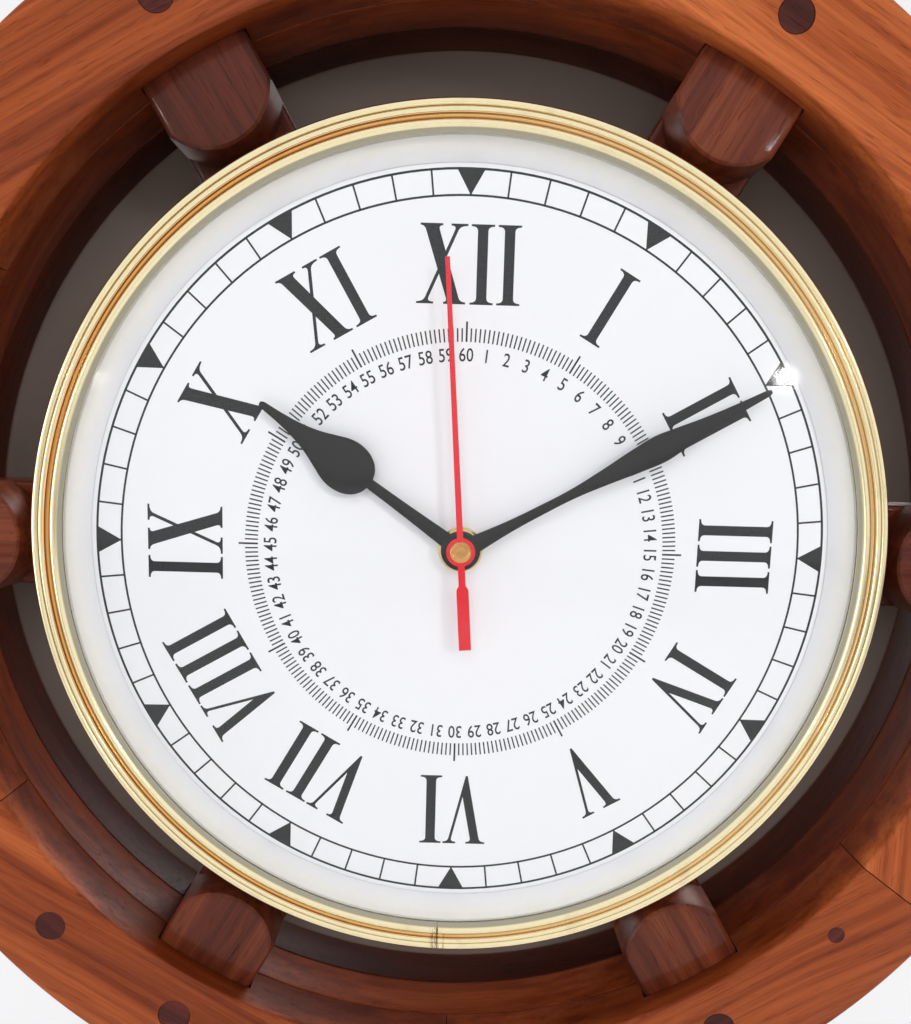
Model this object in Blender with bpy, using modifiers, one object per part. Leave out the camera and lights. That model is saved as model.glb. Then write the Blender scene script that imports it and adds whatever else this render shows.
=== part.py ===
"""A wooden ship's wheel with a quartz clock in its hub, modelled for hanging on a wall.

The dial faces -Y, 12 o'clock points to +Z and +X is to the right of someone reading the time.
The wall is the plane y = 0. Depths are distances in front of the wall, so depth d lies at y = -d.
Angles on the wheel and the dial are in degrees, clockwise from 12 o'clock.
The origin is on the hanger plate's rear face, just above its keyhole.
"""

import math

import bmesh
import bpy
from mathutils import Matrix, Vector

MM = 0.001
GAP = 0.3 * MM
SMALL_FIT = 0.1 * MM

SECTORS = 6
SECTOR = 360.0 / SECTORS
FIRST_SPOKE = 30.0

LAYER = 15.0 * MM
LAYERS = 3
RIM_INNER = 142.5 * MM
RIM_WIDTH = 29.0 * MM
FOUR_OCLOCK_JOINT_SHIFT = 6.5

SPOKE_SIZE = 30.0 * MM
TONGUE_THICKNESS = 15.0 * MM
SHOULDER_ROOM = 4.5 * MM
SHOULDER_CROWN = 9.5 * MM
BLOCK_PAST_RIM = 5.5 * MM
TENON_RADIUS = 6.0 * MM
TENON_LENGTH = 14.0 * MM
PEG_RADIUS = 4.5 * MM
PEG_INSET = 2.0 * MM
PEG_LENGTH = 18.0 * MM

HANDLE_LENGTH = 128.0 * MM
HANDLE_NECK = 8.0 * MM
HANDLE_COLLAR = 13.0 * MM
HANDLE_GRIP = 14.5 * MM
HANDLE_WAIST = 9.0 * MM
HANDLE_KNOB = 12.5 * MM
COLLAR_START_SHARE = 0.03
COLLAR_SHARE = 0.10
COLLAR_HALF_SHARE = 0.055
NECK_SHARE = 0.19
GRIP_SHARE = 0.46
WAIST_SHARE = 0.79
KNOB_POINTS = 6

HUB_RADIUS = 70.0 * MM
MOVEMENT_ROOM = 1.0 * MM

BOARD_THICKNESS = 9.0 * MM
DIAL_THICKNESS = 1.4 * MM
SKIRT_INNER = 107.3 * MM
SKIRT_WALL = 1.1 * MM
REVEAL_BACK_WIDTH = 5.5 * MM
REVEAL_FRONT_WIDTH = 3.0 * MM
REVEAL_HEIGHT = 5.3 * MM
GLASS_THICKNESS = 2.0 * MM
GLASS_RISE = 5.0 * MM
LIP_OVERLAP = 1.1 * MM
BEZEL_FLANGE = 6.6 * MM
SKIRT_DROP = 5.2 * MM
FLANGE_DROP = 3.6 * MM
OUTER_BEAD = 1.4 * MM
OUTER_BEAD_DROP = 1.8 * MM
SECOND_BEAD = 0.8 * MM
SECOND_BEAD_INSET = 3.5 * MM
SECOND_BEAD_DROP = 0.5 * MM
COVE_OUTER_INSET = 5.6 * MM
COVE_OUTER_DROP = 0.9 * MM
COVE_INNER_INSET = 6.8 * MM
COVE_INNER_DROP = 0.5 * MM
INNER_BEAD = 0.75 * MM
INNER_BEAD_RISE = 0.15 * MM
RING_STEPS = 48
HANDLE_STEPS = 12
TENON_STEPS = 12

NUT_RADIUS = 5.6 * MM
NUT_FLANGE_RADIUS = 6.2 * MM
NUT_HEIGHT = 2.4 * MM
BUSH_RADIUS = 4.0 * MM
BUSH_BORE = 2.7 * MM
HOUR_TUBE_RADIUS = 2.5 * MM
HOUR_TUBE_BORE = 1.75 * MM
MINUTE_TUBE_RADIUS = 1.55 * MM
MINUTE_TUBE_BORE = 0.65 * MM
ARBOR_RADIUS = 0.4 * MM
MINUTE_ARBOR_RADIUS = 0.8 * MM

HAND_THICKNESS = 0.4 * MM
HAND_SPACE = 1.2 * MM
HOUR_ANGLE = 305.0
MINUTE_ANGLE = 61.0
SECOND_ANGLE = 355.8
MINUTE_TIP_ROOM = 9.0 * MM
HOUR_SHORTER = 26.0 * MM
SECOND_SHORTER = 16.0 * MM
SECOND_TAIL = 27.0 * MM
SECOND_PADDLE_LENGTH = 17.0 * MM
SECOND_PADDLE_HALF = 1.65 * MM
SECOND_BLADE_HALF = 0.85 * MM
SECOND_NECK_HALF = 0.95 * MM
HOUR_BOSS = 5.4 * MM
MINUTE_BOSS = 5.2 * MM
SECOND_BOSS = 3.9 * MM
HOUR_DRAWN_LENGTH = 66.5
HOUR_STEM = ((5.0, 2.1), (20.0, 1.6), (30.6, 1.4))
HOUR_PEAR = ((31.4, 3.4), (33.5, 5.7), (37.0, 7.0), (41.0, 6.9), (45.0, 5.4), (49.0, 3.9))
HOUR_POINT = ((53.0, 2.6), (58.0, 1.7), (65.6, 1.0))
MINUTE_DRAWN_LENGTH = 92.5
MINUTE_STEM = ((4.6, 2.4), (12.0, 1.75), (22.0, 1.3), (33.0, 1.3))
MINUTE_LEAF = ((44.0, 2.2), (55.0, 3.4), (60.0, 3.7), (65.0, 3.2), (73.0, 2.2))
MINUTE_POINT = ((82.0, 1.4), (91.6, 0.9))

CASE_WALL = 1.5 * MM
CASE_CORNER = 3.0 * MM
PARTITION_WALL = 1.2 * MM
BATTERY_PLAY = 0.5 * MM
BATTERY_BACK_ROOM = 0.7 * MM
CONTACT_ROOM = 1.45 * MM
CONTACT_HALF = 4.0 * MM
CONTACT_DEPTH = 5.0 * MM
BATTERY_RADIUS = 7.0 * MM
BATTERY_LENGTH = 48.1 * MM
BATTERY_NUB_RADIUS = 2.7 * MM
BATTERY_NUB_LENGTH = 1.0 * MM
CONTACT_THICKNESS = 0.4 * MM
KNOB_RADIUS = 7.0 * MM
KNOB_THICKNESS = 2.8 * MM

WHEEL_THICKNESS = 0.7 * MM
PINION_OVERLAP = 0.3 * MM
SECONDS_PINION_TEETH = 6
THIRD_WHEEL_TEETH = 45
THIRD_PINION_TEETH = 6
CENTRE_WHEEL_TEETH = 48
CANNON_TEETH = 12
MINUTE_WHEEL_TEETH = 36
MINUTE_PINION_TEETH = 10
HOUR_WHEEL_TEETH = 40
SECONDS_WHEEL_TEETH = 36
INTERMEDIATE_PINION_TEETH = 6
INTERMEDIATE_WHEEL_TEETH = 30
ROTOR_PINION_TEETH = 6
RUNNING_MODULE = 0.30 * MM
MOTION_MODULE = 0.35 * MM
STEP_MODULE = 0.28 * MM
ADDENDUM = 0.6
DEDENDUM = 1.2
THIRD_DIRECTION = -70.0
MINUTE_DIRECTION = 60.0
INTERMEDIATE_DIRECTION = 0.0
MID_PLATE_THICKNESS = 1.0 * MM
ROTOR_RADIUS = 3.0 * MM
COIL_RADIUS = 2.4 * MM
COIL_FLANGE = 0.8 * MM
CORE_THICKNESS = 0.8 * MM
STATOR_HALF = 13.0 * MM
STATOR_ARM = 4.0 * MM
STATOR_REACH = 12.5 * MM
STATOR_POST_RADIUS = 1.1 * MM
PLATE_POST_RADIUS = 1.8 * MM
PLATE_POST_INSET = 4.0 * MM
PLATE_POST_RISE = 3.5 * MM
BOARD_LEFT = 11.0 * MM
BOARD_TOP = 4.0 * MM
BOARD_SHEET = 1.0 * MM
CHIP_RADIUS = 2.4 * MM
CHIP_HEIGHT = 0.8 * MM

PLATE_WIDTH = 44.0 * MM
PLATE_MARGIN = 3.5 * MM
PLATE_THICKNESS = 1.5 * MM
PLATE_CORNER = 3.0 * MM
KEYHOLE_RADIUS = 5.5 * MM
KEYHOLE_SLOT = 5.4 * MM
KEYHOLE_DROP = 9.5 * MM
KEYHOLE_LAND = 4.7 * MM
KEYHOLE_ROOM_DEPTH = 9.0 * MM
SCREW_INSET = 5.5 * MM
SCREW_HEAD_RADIUS = 3.0 * MM
SCREW_HEAD_DEPTH = 1.4 * MM
SCREW_SHANK_RADIUS = 1.4 * MM
SCREW_LENGTH = 11.0 * MM

RIM_DEPTH = LAYER * LAYERS
RIM_OUTER = RIM_INNER + RIM_WIDTH
RIM_MIDDLE = (RIM_INNER + RIM_OUTER) / 2
PEG_CIRCLE = RIM_MIDDLE - PEG_INSET
SPOKE_BACK = (RIM_DEPTH - SPOKE_SIZE) / 2
SPOKE_FRONT = SPOKE_BACK + SPOKE_SIZE
TONGUE_FRONT = SPOKE_BACK + TONGUE_THICKNESS
BLOCK_END = RIM_OUTER + BLOCK_PAST_RIM
HANDLE_TIP = BLOCK_END + HANDLE_LENGTH

BOARD_BACK = TONGUE_FRONT + GAP
BOARD_FRONT = BOARD_BACK + BOARD_THICKNESS
BOARD_RADIUS = SKIRT_INNER - GAP
BEZEL_RADIUS = SKIRT_INNER + SKIRT_WALL + BEZEL_FLANGE
LIP_RADIUS = BOARD_RADIUS - LIP_OVERLAP
SHOULDER_RADIUS = BEZEL_RADIUS + SHOULDER_ROOM
REVEAL_BACK_RADIUS = BOARD_RADIUS - REVEAL_BACK_WIDTH
REVEAL_FRONT_RADIUS = BOARD_RADIUS - REVEAL_FRONT_WIDTH
MINUTE_LENGTH = REVEAL_BACK_RADIUS - MINUTE_TIP_ROOM
HOUR_LENGTH = MINUTE_LENGTH - HOUR_SHORTER
SECOND_LENGTH = MINUTE_LENGTH - SECOND_SHORTER
DIAL_BACK = BOARD_FRONT + GAP
DIAL_FRONT = DIAL_BACK + DIAL_THICKNESS
REVEAL_BACK = DIAL_FRONT + GAP
REVEAL_FRONT = REVEAL_BACK + REVEAL_HEIGHT
GLASS_BACK = REVEAL_FRONT + GAP
GLASS_FRONT = GLASS_BACK + GLASS_THICKNESS
LIP_BACK = GLASS_FRONT + GAP + SMALL_FIT

NUT_BACK = DIAL_FRONT + GAP
NUT_FRONT = NUT_BACK + NUT_HEIGHT
BUSH_END = NUT_FRONT + GAP
HOUR_BACK = BUSH_END + HAND_SPACE / 2
HOUR_FRONT = HOUR_BACK + HAND_THICKNESS
MINUTE_BACK = HOUR_FRONT + HAND_SPACE
MINUTE_FRONT = MINUTE_BACK + HAND_THICKNESS
SECOND_BACK = MINUTE_FRONT + HAND_SPACE
SECOND_FRONT = SECOND_BACK + HAND_THICKNESS

MOVEMENT_SIZE = BATTERY_LENGTH + 2 * (BATTERY_NUB_LENGTH + CONTACT_ROOM + CASE_WALL)
MOVEMENT_DEPTH = CASE_WALL + GAP + 2 * BATTERY_RADIUS + BATTERY_BACK_ROOM
MOVEMENT_FRONT = BOARD_BACK - GAP
MOVEMENT_BACK = MOVEMENT_FRONT - MOVEMENT_DEPTH
CASE_FLOOR = MOVEMENT_FRONT - CASE_WALL
COVER_FRONT = MOVEMENT_BACK + CASE_WALL
CASE_BACK = COVER_FRONT + GAP
PIVOT_DEPTH = CASE_WALL / 2

HOUR_WHEEL_PLANE = CASE_FLOOR - PINION_OVERLAP - WHEEL_THICKNESS
MINUTE_WHEEL_PLANE = HOUR_WHEEL_PLANE - 2 * WHEEL_THICKNESS
CENTRE_WHEEL_PLANE = MINUTE_WHEEL_PLANE - 2 * WHEEL_THICKNESS
THIRD_WHEEL_PLANE = CENTRE_WHEEL_PLANE - 2.4 * WHEEL_THICKNESS
MID_PLATE_FRONT = THIRD_WHEEL_PLANE - 2 * PINION_OVERLAP
MID_PLATE_BACK = MID_PLATE_FRONT - MID_PLATE_THICKNESS
SECONDS_WHEEL_PLANE = MID_PLATE_BACK - PINION_OVERLAP - GAP - WHEEL_THICKNESS
INTERMEDIATE_PLANE = SECONDS_WHEEL_PLANE - 2 * WHEEL_THICKNESS
STATOR_FRONT = INTERMEDIATE_PLANE - 2 * PINION_OVERLAP - SMALL_FIT
STATOR_BACK = STATOR_FRONT - MID_PLATE_THICKNESS
MINUTE_TUBE_END = CENTRE_WHEEL_PLANE - 2 * SMALL_FIT

THIRD_DISTANCE = RUNNING_MODULE * (SECONDS_PINION_TEETH + THIRD_WHEEL_TEETH) / 2
CENTRE_MODULE = 2 * THIRD_DISTANCE / (THIRD_PINION_TEETH + CENTRE_WHEEL_TEETH)
MINUTE_DISTANCE = MOTION_MODULE * (CANNON_TEETH + MINUTE_WHEEL_TEETH) / 2
HOUR_MODULE = 2 * MINUTE_DISTANCE / (MINUTE_PINION_TEETH + HOUR_WHEEL_TEETH)
INTERMEDIATE_DISTANCE = STEP_MODULE * (INTERMEDIATE_PINION_TEETH + SECONDS_WHEEL_TEETH) / 2
ROTOR_DISTANCE = STEP_MODULE * (ROTOR_PINION_TEETH + INTERMEDIATE_WHEEL_TEETH) / 2

BATTERY_ROOM_BOTTOM = -MOVEMENT_SIZE / 2 + CASE_WALL
BATTERY_ROOM_TOP = BATTERY_ROOM_BOTTOM + 2 * (BATTERY_RADIUS + BATTERY_PLAY)
PARTITION_TOP = BATTERY_ROOM_TOP + PARTITION_WALL
BATTERY_Z = (BATTERY_ROOM_TOP + BATTERY_ROOM_BOTTOM) / 2
BATTERY_DEPTH = CASE_FLOOR - GAP - BATTERY_RADIUS
ROOM_HALF = MOVEMENT_SIZE / 2 - CASE_WALL

PLATE_HEIGHT = RIM_WIDTH - 2 * PLATE_MARGIN
KEYHOLE_TOP = RIM_MIDDLE + PLATE_HEIGHT / 2 - KEYHOLE_LAND
KEYHOLE_MOUTH = KEYHOLE_TOP - KEYHOLE_DROP
SCREW_X = PLATE_WIDTH / 2 - SCREW_INSET
AXIS_Z = -(KEYHOLE_TOP + KEYHOLE_LAND / 2)

WOOD_FRONT = ("rim wood", (0.40, 0.13, 0.045), 0.30, 0.0)
WOOD_DARK = ("spoke wood", (0.19, 0.055, 0.025), 0.28, 0.0)
WOOD_PEG = ("peg wood", (0.11, 0.025, 0.022), 0.35, 0.0)
BOARD_WOOD = ("backing board", (0.33, 0.22, 0.13), 0.75, 0.0)
DIAL_WHITE = ("dial enamel", (0.90, 0.90, 0.91), 0.45, 0.0)
REVEAL_WHITE = ("reveal ring", (0.83, 0.84, 0.82), 0.40, 0.0)
BRASS = ("polished brass", (0.82, 0.58, 0.22), 0.18, 1.0)
GLASS = ("clear glass", (0.95, 0.98, 0.97), 0.05, 0.0)
BLACK_HAND = ("black hands", (0.015, 0.015, 0.017), 0.22, 0.0)
RED_HAND = ("red hand", (0.80, 0.02, 0.03), 0.35, 0.0)
BLACK_PLASTIC = ("movement case", (0.025, 0.025, 0.027), 0.50, 0.0)
WHITE_PLASTIC = ("gear plastic", (0.78, 0.77, 0.72), 0.45, 0.0)
STEEL = ("bright steel", (0.62, 0.63, 0.65), 0.28, 1.0)
COPPER = ("copper winding", (0.72, 0.33, 0.14), 0.35, 1.0)
GREEN_BOARD = ("circuit board", (0.03, 0.20, 0.08), 0.45, 0.0)
BATTERY_SLEEVE = ("battery sleeve", (0.12, 0.14, 0.17), 0.35, 0.0)
MAGNET = ("rotor magnet", (0.16, 0.16, 0.17), 0.45, 0.6)


def clear_scene():
    for obj in list(bpy.data.objects):
        bpy.data.objects.remove(obj, do_unlink=True)
    for mesh in list(bpy.data.meshes):
        bpy.data.meshes.remove(mesh)


def make_collection(name):
    collection = bpy.data.collections.new(name)
    bpy.context.scene.collection.children.link(collection)
    return collection


def material(finish):
    name, colour, roughness, metallic = finish
    found = bpy.data.materials.get(name)
    if found:
        return found
    made = bpy.data.materials.new(name)
    made.use_nodes = True
    shader = made.node_tree.nodes["Principled BSDF"]
    shader.inputs["Base Color"].default_value = (*colour, 1.0)
    shader.inputs["Roughness"].default_value = roughness
    shader.inputs["Metallic"].default_value = metallic
    return made


def direction(angle):
    """Unit vector in the dial's plane, clockwise from 12 o'clock."""
    turn = math.radians(angle)
    return Vector((math.sin(turn), 0.0, math.cos(turn)))


def arc(radius, start, end, segments, centre=(0.0, 0.0)):
    """Points (x, z) along an arc whose angles run clockwise from +Z."""
    points = []
    for step in range(segments + 1):
        turn = math.radians(start + (end - start) * step / segments)
        points.append((centre[0] + radius * math.sin(turn), centre[1] + radius * math.cos(turn)))
    return points


def circle(radius, sides, centre=(0.0, 0.0), phase=0.0):
    return arc(radius, phase, phase + 360.0, sides, centre)[:-1]


def rectangle(x_low, x_high, z_low, z_high):
    return [(x_low, z_low), (x_high, z_low), (x_high, z_high), (x_low, z_high)]


def rounded_square(half, corner):
    points = []
    inner = half - corner
    for index, centre in enumerate([(inner, inner), (inner, -inner), (-inner, -inner), (-inner, inner)]):
        points += arc(corner, index * 90.0, index * 90.0 + 90.0, 3, centre)
    return points


def scratch_object(name, mesh):
    obj = bpy.data.objects.new(name, mesh)
    bpy.context.scene.collection.objects.link(obj)
    return obj


def baked(obj):
    """The object's evaluated mesh in world space, welded and facing out; the object is removed."""
    bpy.context.view_layer.update()
    graph = bpy.context.evaluated_depsgraph_get()
    evaluated = obj.evaluated_get(graph)
    mesh = bpy.data.meshes.new_from_object(evaluated, preserve_all_data_layers=False, depsgraph=graph)
    mesh.transform(obj.matrix_world)
    bpy.data.objects.remove(obj, do_unlink=True)
    work = bmesh.new()
    work.from_mesh(mesh)
    bmesh.ops.remove_doubles(work, verts=work.verts, dist=0.0005 * MM)
    bmesh.ops.recalc_face_normals(work, faces=work.faces)
    work.to_mesh(mesh)
    work.free()
    mesh.materials.clear()
    return mesh


def plate(outlines, back, front):
    """A flat piece: outlines in (x, z), the first the outside and the rest holes."""
    curve = bpy.data.curves.new("outline", "CURVE")
    curve.dimensions = "2D"
    curve.fill_mode = "BOTH"
    curve.extrude = (front - back) / 2
    for outline in outlines:
        spline = curve.splines.new("POLY")
        spline.points.add(len(outline) - 1)
        for point, (x, z) in zip(spline.points, outline):
            point.co = (x, z, 0.0, 1.0)
        spline.use_cyclic_u = True
    obj = scratch_object("outline", curve)
    obj.matrix_world = Matrix.Translation((0.0, -(back + front) / 2, 0.0)) @ Matrix.Rotation(
        math.radians(90.0), 4, "X")
    mesh = baked(obj)
    bpy.data.curves.remove(curve)
    return mesh


def turned(profile, steps, closed=True):
    """A piece turned about the clock's axis from a profile of (radius, depth) points."""
    mesh = bpy.data.meshes.new("profile")
    work = bmesh.new()
    points = [work.verts.new((radius, -depth, 0.0)) for radius, depth in profile]
    for first, second in zip(points, points[1:]):
        work.edges.new((first, second))
    if closed:
        work.edges.new((points[-1], points[0]))
    work.to_mesh(mesh)
    work.free()
    obj = scratch_object("profile", mesh)
    screw = obj.modifiers.new("turn", "SCREW")
    screw.axis = "Y"
    screw.steps = steps
    screw.render_steps = steps
    screw.use_merge_vertices = True
    screw.merge_threshold = 0.001 * MM
    result = baked(obj)
    bpy.data.meshes.remove(mesh)
    return result


def shifted(mesh, x=0.0, z=0.0, depth=0.0):
    mesh.transform(Matrix.Translation((x, -depth, z)))
    return mesh


def rod(radius, back, front, centre=(0.0, 0.0), sides=16):
    return plate([circle(radius, sides, centre)], back, front)


def box(x_low, x_high, back, front, z_low, z_high):
    work = bmesh.new()
    bmesh.ops.create_cube(work, size=1.0)
    size = Vector((x_high - x_low, front - back, z_high - z_low))
    middle = Vector(((x_low + x_high) / 2, -(back + front) / 2, (z_low + z_high) / 2))
    bmesh.ops.scale(work, vec=size, verts=work.verts)
    bmesh.ops.translate(work, vec=middle, verts=work.verts)
    mesh = bpy.data.meshes.new("box")
    work.to_mesh(mesh)
    work.free()
    return mesh


def combined(base, others, operation):
    """The base mesh joined with, cut by or limited to each of the other meshes in turn."""
    for other in others:
        body = scratch_object("body", base)
        tool = scratch_object("tool", other)
        cut = body.modifiers.new("boolean", "BOOLEAN")
        cut.operation = operation
        cut.solver = "EXACT"
        cut.object = tool
        result = baked(body)
        bpy.data.objects.remove(tool, do_unlink=True)
        base = result
    return base


def joined(base, *others):
    return combined(base, others, "UNION")


def cut(base, *others):
    return combined(base, others, "DIFFERENCE")


def limited(base, *others):
    return combined(base, others, "INTERSECT")


def place(name, mesh, finish, angle=0.0, smooth=30.0):
    """One named sub-part on the clock's axis, turned clockwise by an angle."""
    if smooth:
        mesh.shade_smooth()
        mesh.set_sharp_from_angle(angle=math.radians(smooth))
    mesh.name = name
    obj = bpy.data.objects.new(name, mesh)
    obj.parent = clock_axis
    obj.rotation_euler = (0.0, math.radians(angle), 0.0)
    obj.data.materials.append(material(finish))
    parts.objects.link(obj)
    return obj


def spoke_angles():
    return [FIRST_SPOKE + SECTOR * index for index in range(SECTORS)]


def felloe_outline(start, end):
    """A stretch of the rim between two joints, with half a gap at each end."""
    segments = 12
    outer_gap = math.degrees(GAP / 2 / RIM_OUTER)
    inner_gap = math.degrees(GAP / 2 / RIM_INNER)
    outer = arc(RIM_OUTER, start + outer_gap, end - outer_gap, segments)
    inner = arc(RIM_INNER, end - inner_gap, start + inner_gap, segments)
    return outer + inner


def spoke_room(angle=0.0):
    """The space a spoke's square block takes in the rim, with its clearance."""
    half = SPOKE_SIZE / 2 + GAP
    room = box(-half, half, SPOKE_BACK - GAP, SPOKE_FRONT + GAP, RIM_INNER - LAYER, RIM_OUTER + LAYER)
    room.transform(Matrix.Rotation(math.radians(angle), 4, "Y"))
    return room


def peg_room(radius, back, front):
    return rod(radius, back, front, (0.0, PEG_CIRCLE), sides=20)


def make_front_felloes():
    back = RIM_DEPTH - LAYER + GAP / 2
    for number, angle in enumerate(spoke_angles(), start=1):
        start = -SECTOR / 2
        end = SECTOR / 2
        if number == 2:
            end += FOUR_OCLOCK_JOINT_SHIFT
        if number == 3:
            start += FOUR_OCLOCK_JOINT_SHIFT
        felloe = plate([felloe_outline(start, end)], back, RIM_DEPTH)
        hole = peg_room(PEG_RADIUS + GAP / 2, back - LAYER, RIM_DEPTH + LAYER)
        felloe = cut(felloe, spoke_room(), hole)
        place("front_felloe_%d" % number, felloe, WOOD_FRONT, angle)


def make_middle_felloes():
    half = SPOKE_SIZE / 2 + GAP
    outer_turn = math.degrees(math.asin(half / RIM_OUTER))
    inner_turn = math.degrees(math.asin(half / RIM_INNER))
    outer = arc(RIM_OUTER, outer_turn, SECTOR - outer_turn, 10)
    inner = arc(RIM_INNER, SECTOR - inner_turn, inner_turn, 10)
    for number, angle in enumerate(spoke_angles(), start=1):
        felloe = plate([outer + inner], LAYER + GAP / 2, RIM_DEPTH - LAYER - GAP / 2)
        place("middle_felloe_%d" % number, felloe, WOOD_FRONT, angle)


def keyhole_outline():
    """The keyhole: a round mouth below and a narrow slot above, in (x, z)."""
    half = KEYHOLE_SLOT / 2
    turn = math.degrees(math.asin(half / KEYHOLE_RADIUS))
    top = arc(half, -90.0, 90.0, 6, (0.0, KEYHOLE_TOP - half))
    return top + arc(KEYHOLE_RADIUS, turn, 360.0 - turn, 14, (0.0, KEYHOLE_MOUTH))


def screw_head_room():
    """The hollow behind the keyhole, where the head of the wall's screw slides up."""
    radius = KEYHOLE_RADIUS + GAP
    upper = arc(radius, -90.0, 90.0, 8, (0.0, KEYHOLE_TOP - KEYHOLE_SLOT / 2))
    return upper + arc(radius, 90.0, 270.0, 8, (0.0, KEYHOLE_MOUTH))


def hanger_plate_outline(spread=0.0):
    corner_x = PLATE_WIDTH / 2 - PLATE_CORNER
    corner_z = PLATE_HEIGHT / 2 - PLATE_CORNER
    points = []
    for index, (x, z) in enumerate([(1, 1), (1, -1), (-1, -1), (-1, 1)]):
        centre = (x * corner_x, RIM_MIDDLE + z * corner_z)
        points += arc(PLATE_CORNER + spread, index * 90.0, index * 90.0 + 90.0, 3, centre)
    return points


def make_back_felloes():
    """Each back felloe runs from spoke to spoke, and the first holds the hanger plate."""
    front = LAYER - GAP / 2
    for index in range(SECTORS):
        felloe = plate([felloe_outline(-SECTOR / 2, SECTOR / 2)], 0.0, front)
        felloe = cut(felloe, spoke_room(-SECTOR / 2), spoke_room(SECTOR / 2))
        if index == 0:
            seat = plate([hanger_plate_outline(GAP)], -LAYER, PLATE_THICKNESS + GAP)
            room = plate([screw_head_room()], -LAYER, KEYHOLE_ROOM_DEPTH)
            hole = rod(SCREW_SHANK_RADIUS + SMALL_FIT, 0.0, SCREW_LENGTH + GAP, (SCREW_X, RIM_MIDDLE))
            felloe = cut(felloe, seat, room, hole)
        place("back_felloe_%d" % (index + 1), felloe, WOOD_FRONT, SECTOR * index)


def handle_profile():
    """Radius against distance from the wheel's axis, from inside the block to the rounded tip."""
    start = BLOCK_END - BLOCK_PAST_RIM
    length = HANDLE_TIP - BLOCK_END
    collar = BLOCK_END + length * COLLAR_SHARE
    neck = BLOCK_END + length * NECK_SHARE
    grip = BLOCK_END + length * GRIP_SHARE
    waist = BLOCK_END + length * WAIST_SHARE
    knob = HANDLE_TIP - HANDLE_KNOB
    profile = [(0.0, start), (HANDLE_NECK, start), (HANDLE_NECK, BLOCK_END + length * COLLAR_START_SHARE)]
    profile += bead(HANDLE_COLLAR, HANDLE_NECK, collar, length * COLLAR_HALF_SHARE)
    profile += swell(HANDLE_NECK, HANDLE_GRIP, neck, grip, 3)
    profile += swell(HANDLE_GRIP, HANDLE_WAIST, grip, waist, 4)[1:]
    knob_start = math.asin(min(0.9, HANDLE_WAIST * 0.8 / HANDLE_KNOB))
    for step in range(KNOB_POINTS):
        turn = knob_start + (math.pi - knob_start) * step / (KNOB_POINTS - 1)
        profile.append((HANDLE_KNOB * math.sin(turn), knob - HANDLE_KNOB * math.cos(turn)))
    profile[-1] = (0.0, HANDLE_TIP)
    return profile


def bead(top, base, middle, half_length):
    points = []
    for step in range(5):
        turn = math.pi * step / 4
        points.append((base + (top - base) * math.sin(turn), middle - half_length * math.cos(turn)))
    return points


def swell(first, second, start, end, steps):
    points = []
    for step in range(steps + 1):
        share = step / steps
        blend = (1 - math.cos(math.pi * share)) / 2
        points.append((first + (second - first) * blend, start + (end - start) * share))
    return points


def spoke_turning(profile, steps):
    """A shape turned about a spoke's own centre line, which points to 12 o'clock here."""
    mesh = turned(profile, steps, closed=False)
    mesh.transform(Matrix.Rotation(math.radians(-90.0), 4, "X"))
    return shifted(mesh, depth=(SPOKE_BACK + SPOKE_FRONT) / 2)


def make_spokes():
    half = SPOKE_SIZE / 2
    crown = SHOULDER_CROWN
    bow = (half * half + crown * crown) / (2 * crown)
    bow_turn = math.degrees(math.asin(half / bow))
    shoulder = arc(bow, 180.0 - bow_turn, 180.0 + bow_turn, 8, (0.0, SHOULDER_RADIUS + bow))
    upper_outline = [(-half, BLOCK_END), (half, BLOCK_END)] + shoulder
    hub_edge = HUB_RADIUS + GAP
    hub_turn = math.degrees(math.asin(half / hub_edge))
    lower_outline = [(-half, BLOCK_END), (half, BLOCK_END)] + arc(hub_edge, hub_turn, -hub_turn, 6)
    corner = half * math.sqrt(2.0)
    chamfer_start = BLOCK_END - BLOCK_PAST_RIM / 2
    envelope = [(0.0, HUB_RADIUS / 2), (corner * 1.1, HUB_RADIUS / 2), (corner * 1.1, chamfer_start)]
    envelope += swell(corner, half * 0.9, chamfer_start, BLOCK_END + GAP, 2)
    envelope.append((0.0, BLOCK_END + GAP))
    for number, angle in enumerate(spoke_angles(), start=1):
        lower = plate([lower_outline], SPOKE_BACK, TONGUE_FRONT)
        upper = plate([upper_outline], TONGUE_FRONT - LAYER / 10, SPOKE_FRONT)
        block = limited(joined(lower, upper), spoke_turning(envelope, HANDLE_STEPS + 2))
        tenon_middle = (SPOKE_BACK + TONGUE_FRONT) / 2
        tenon = [(0.0, hub_edge - TENON_LENGTH), (TENON_RADIUS, hub_edge - TENON_LENGTH),
                 (TENON_RADIUS, hub_edge + TENON_LENGTH / 2), (0.0, hub_edge + TENON_LENGTH / 2)]
        tenon = shifted(spoke_turning(tenon, TENON_STEPS), depth=tenon_middle - RIM_DEPTH / 2)
        spoke = joined(block, tenon, spoke_turning(handle_profile(), HANDLE_STEPS))
        peg_back = RIM_DEPTH - PEG_LENGTH - GAP
        spoke = cut(spoke, peg_room(PEG_RADIUS + GAP / 2, peg_back, SPOKE_FRONT + LAYER))
        place("spoke_%d" % number, spoke, WOOD_DARK, angle)
        peg = peg_room(PEG_RADIUS, RIM_DEPTH - PEG_LENGTH, RIM_DEPTH)
        place("peg_%d" % number, peg, WOOD_PEG, angle)


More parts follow.
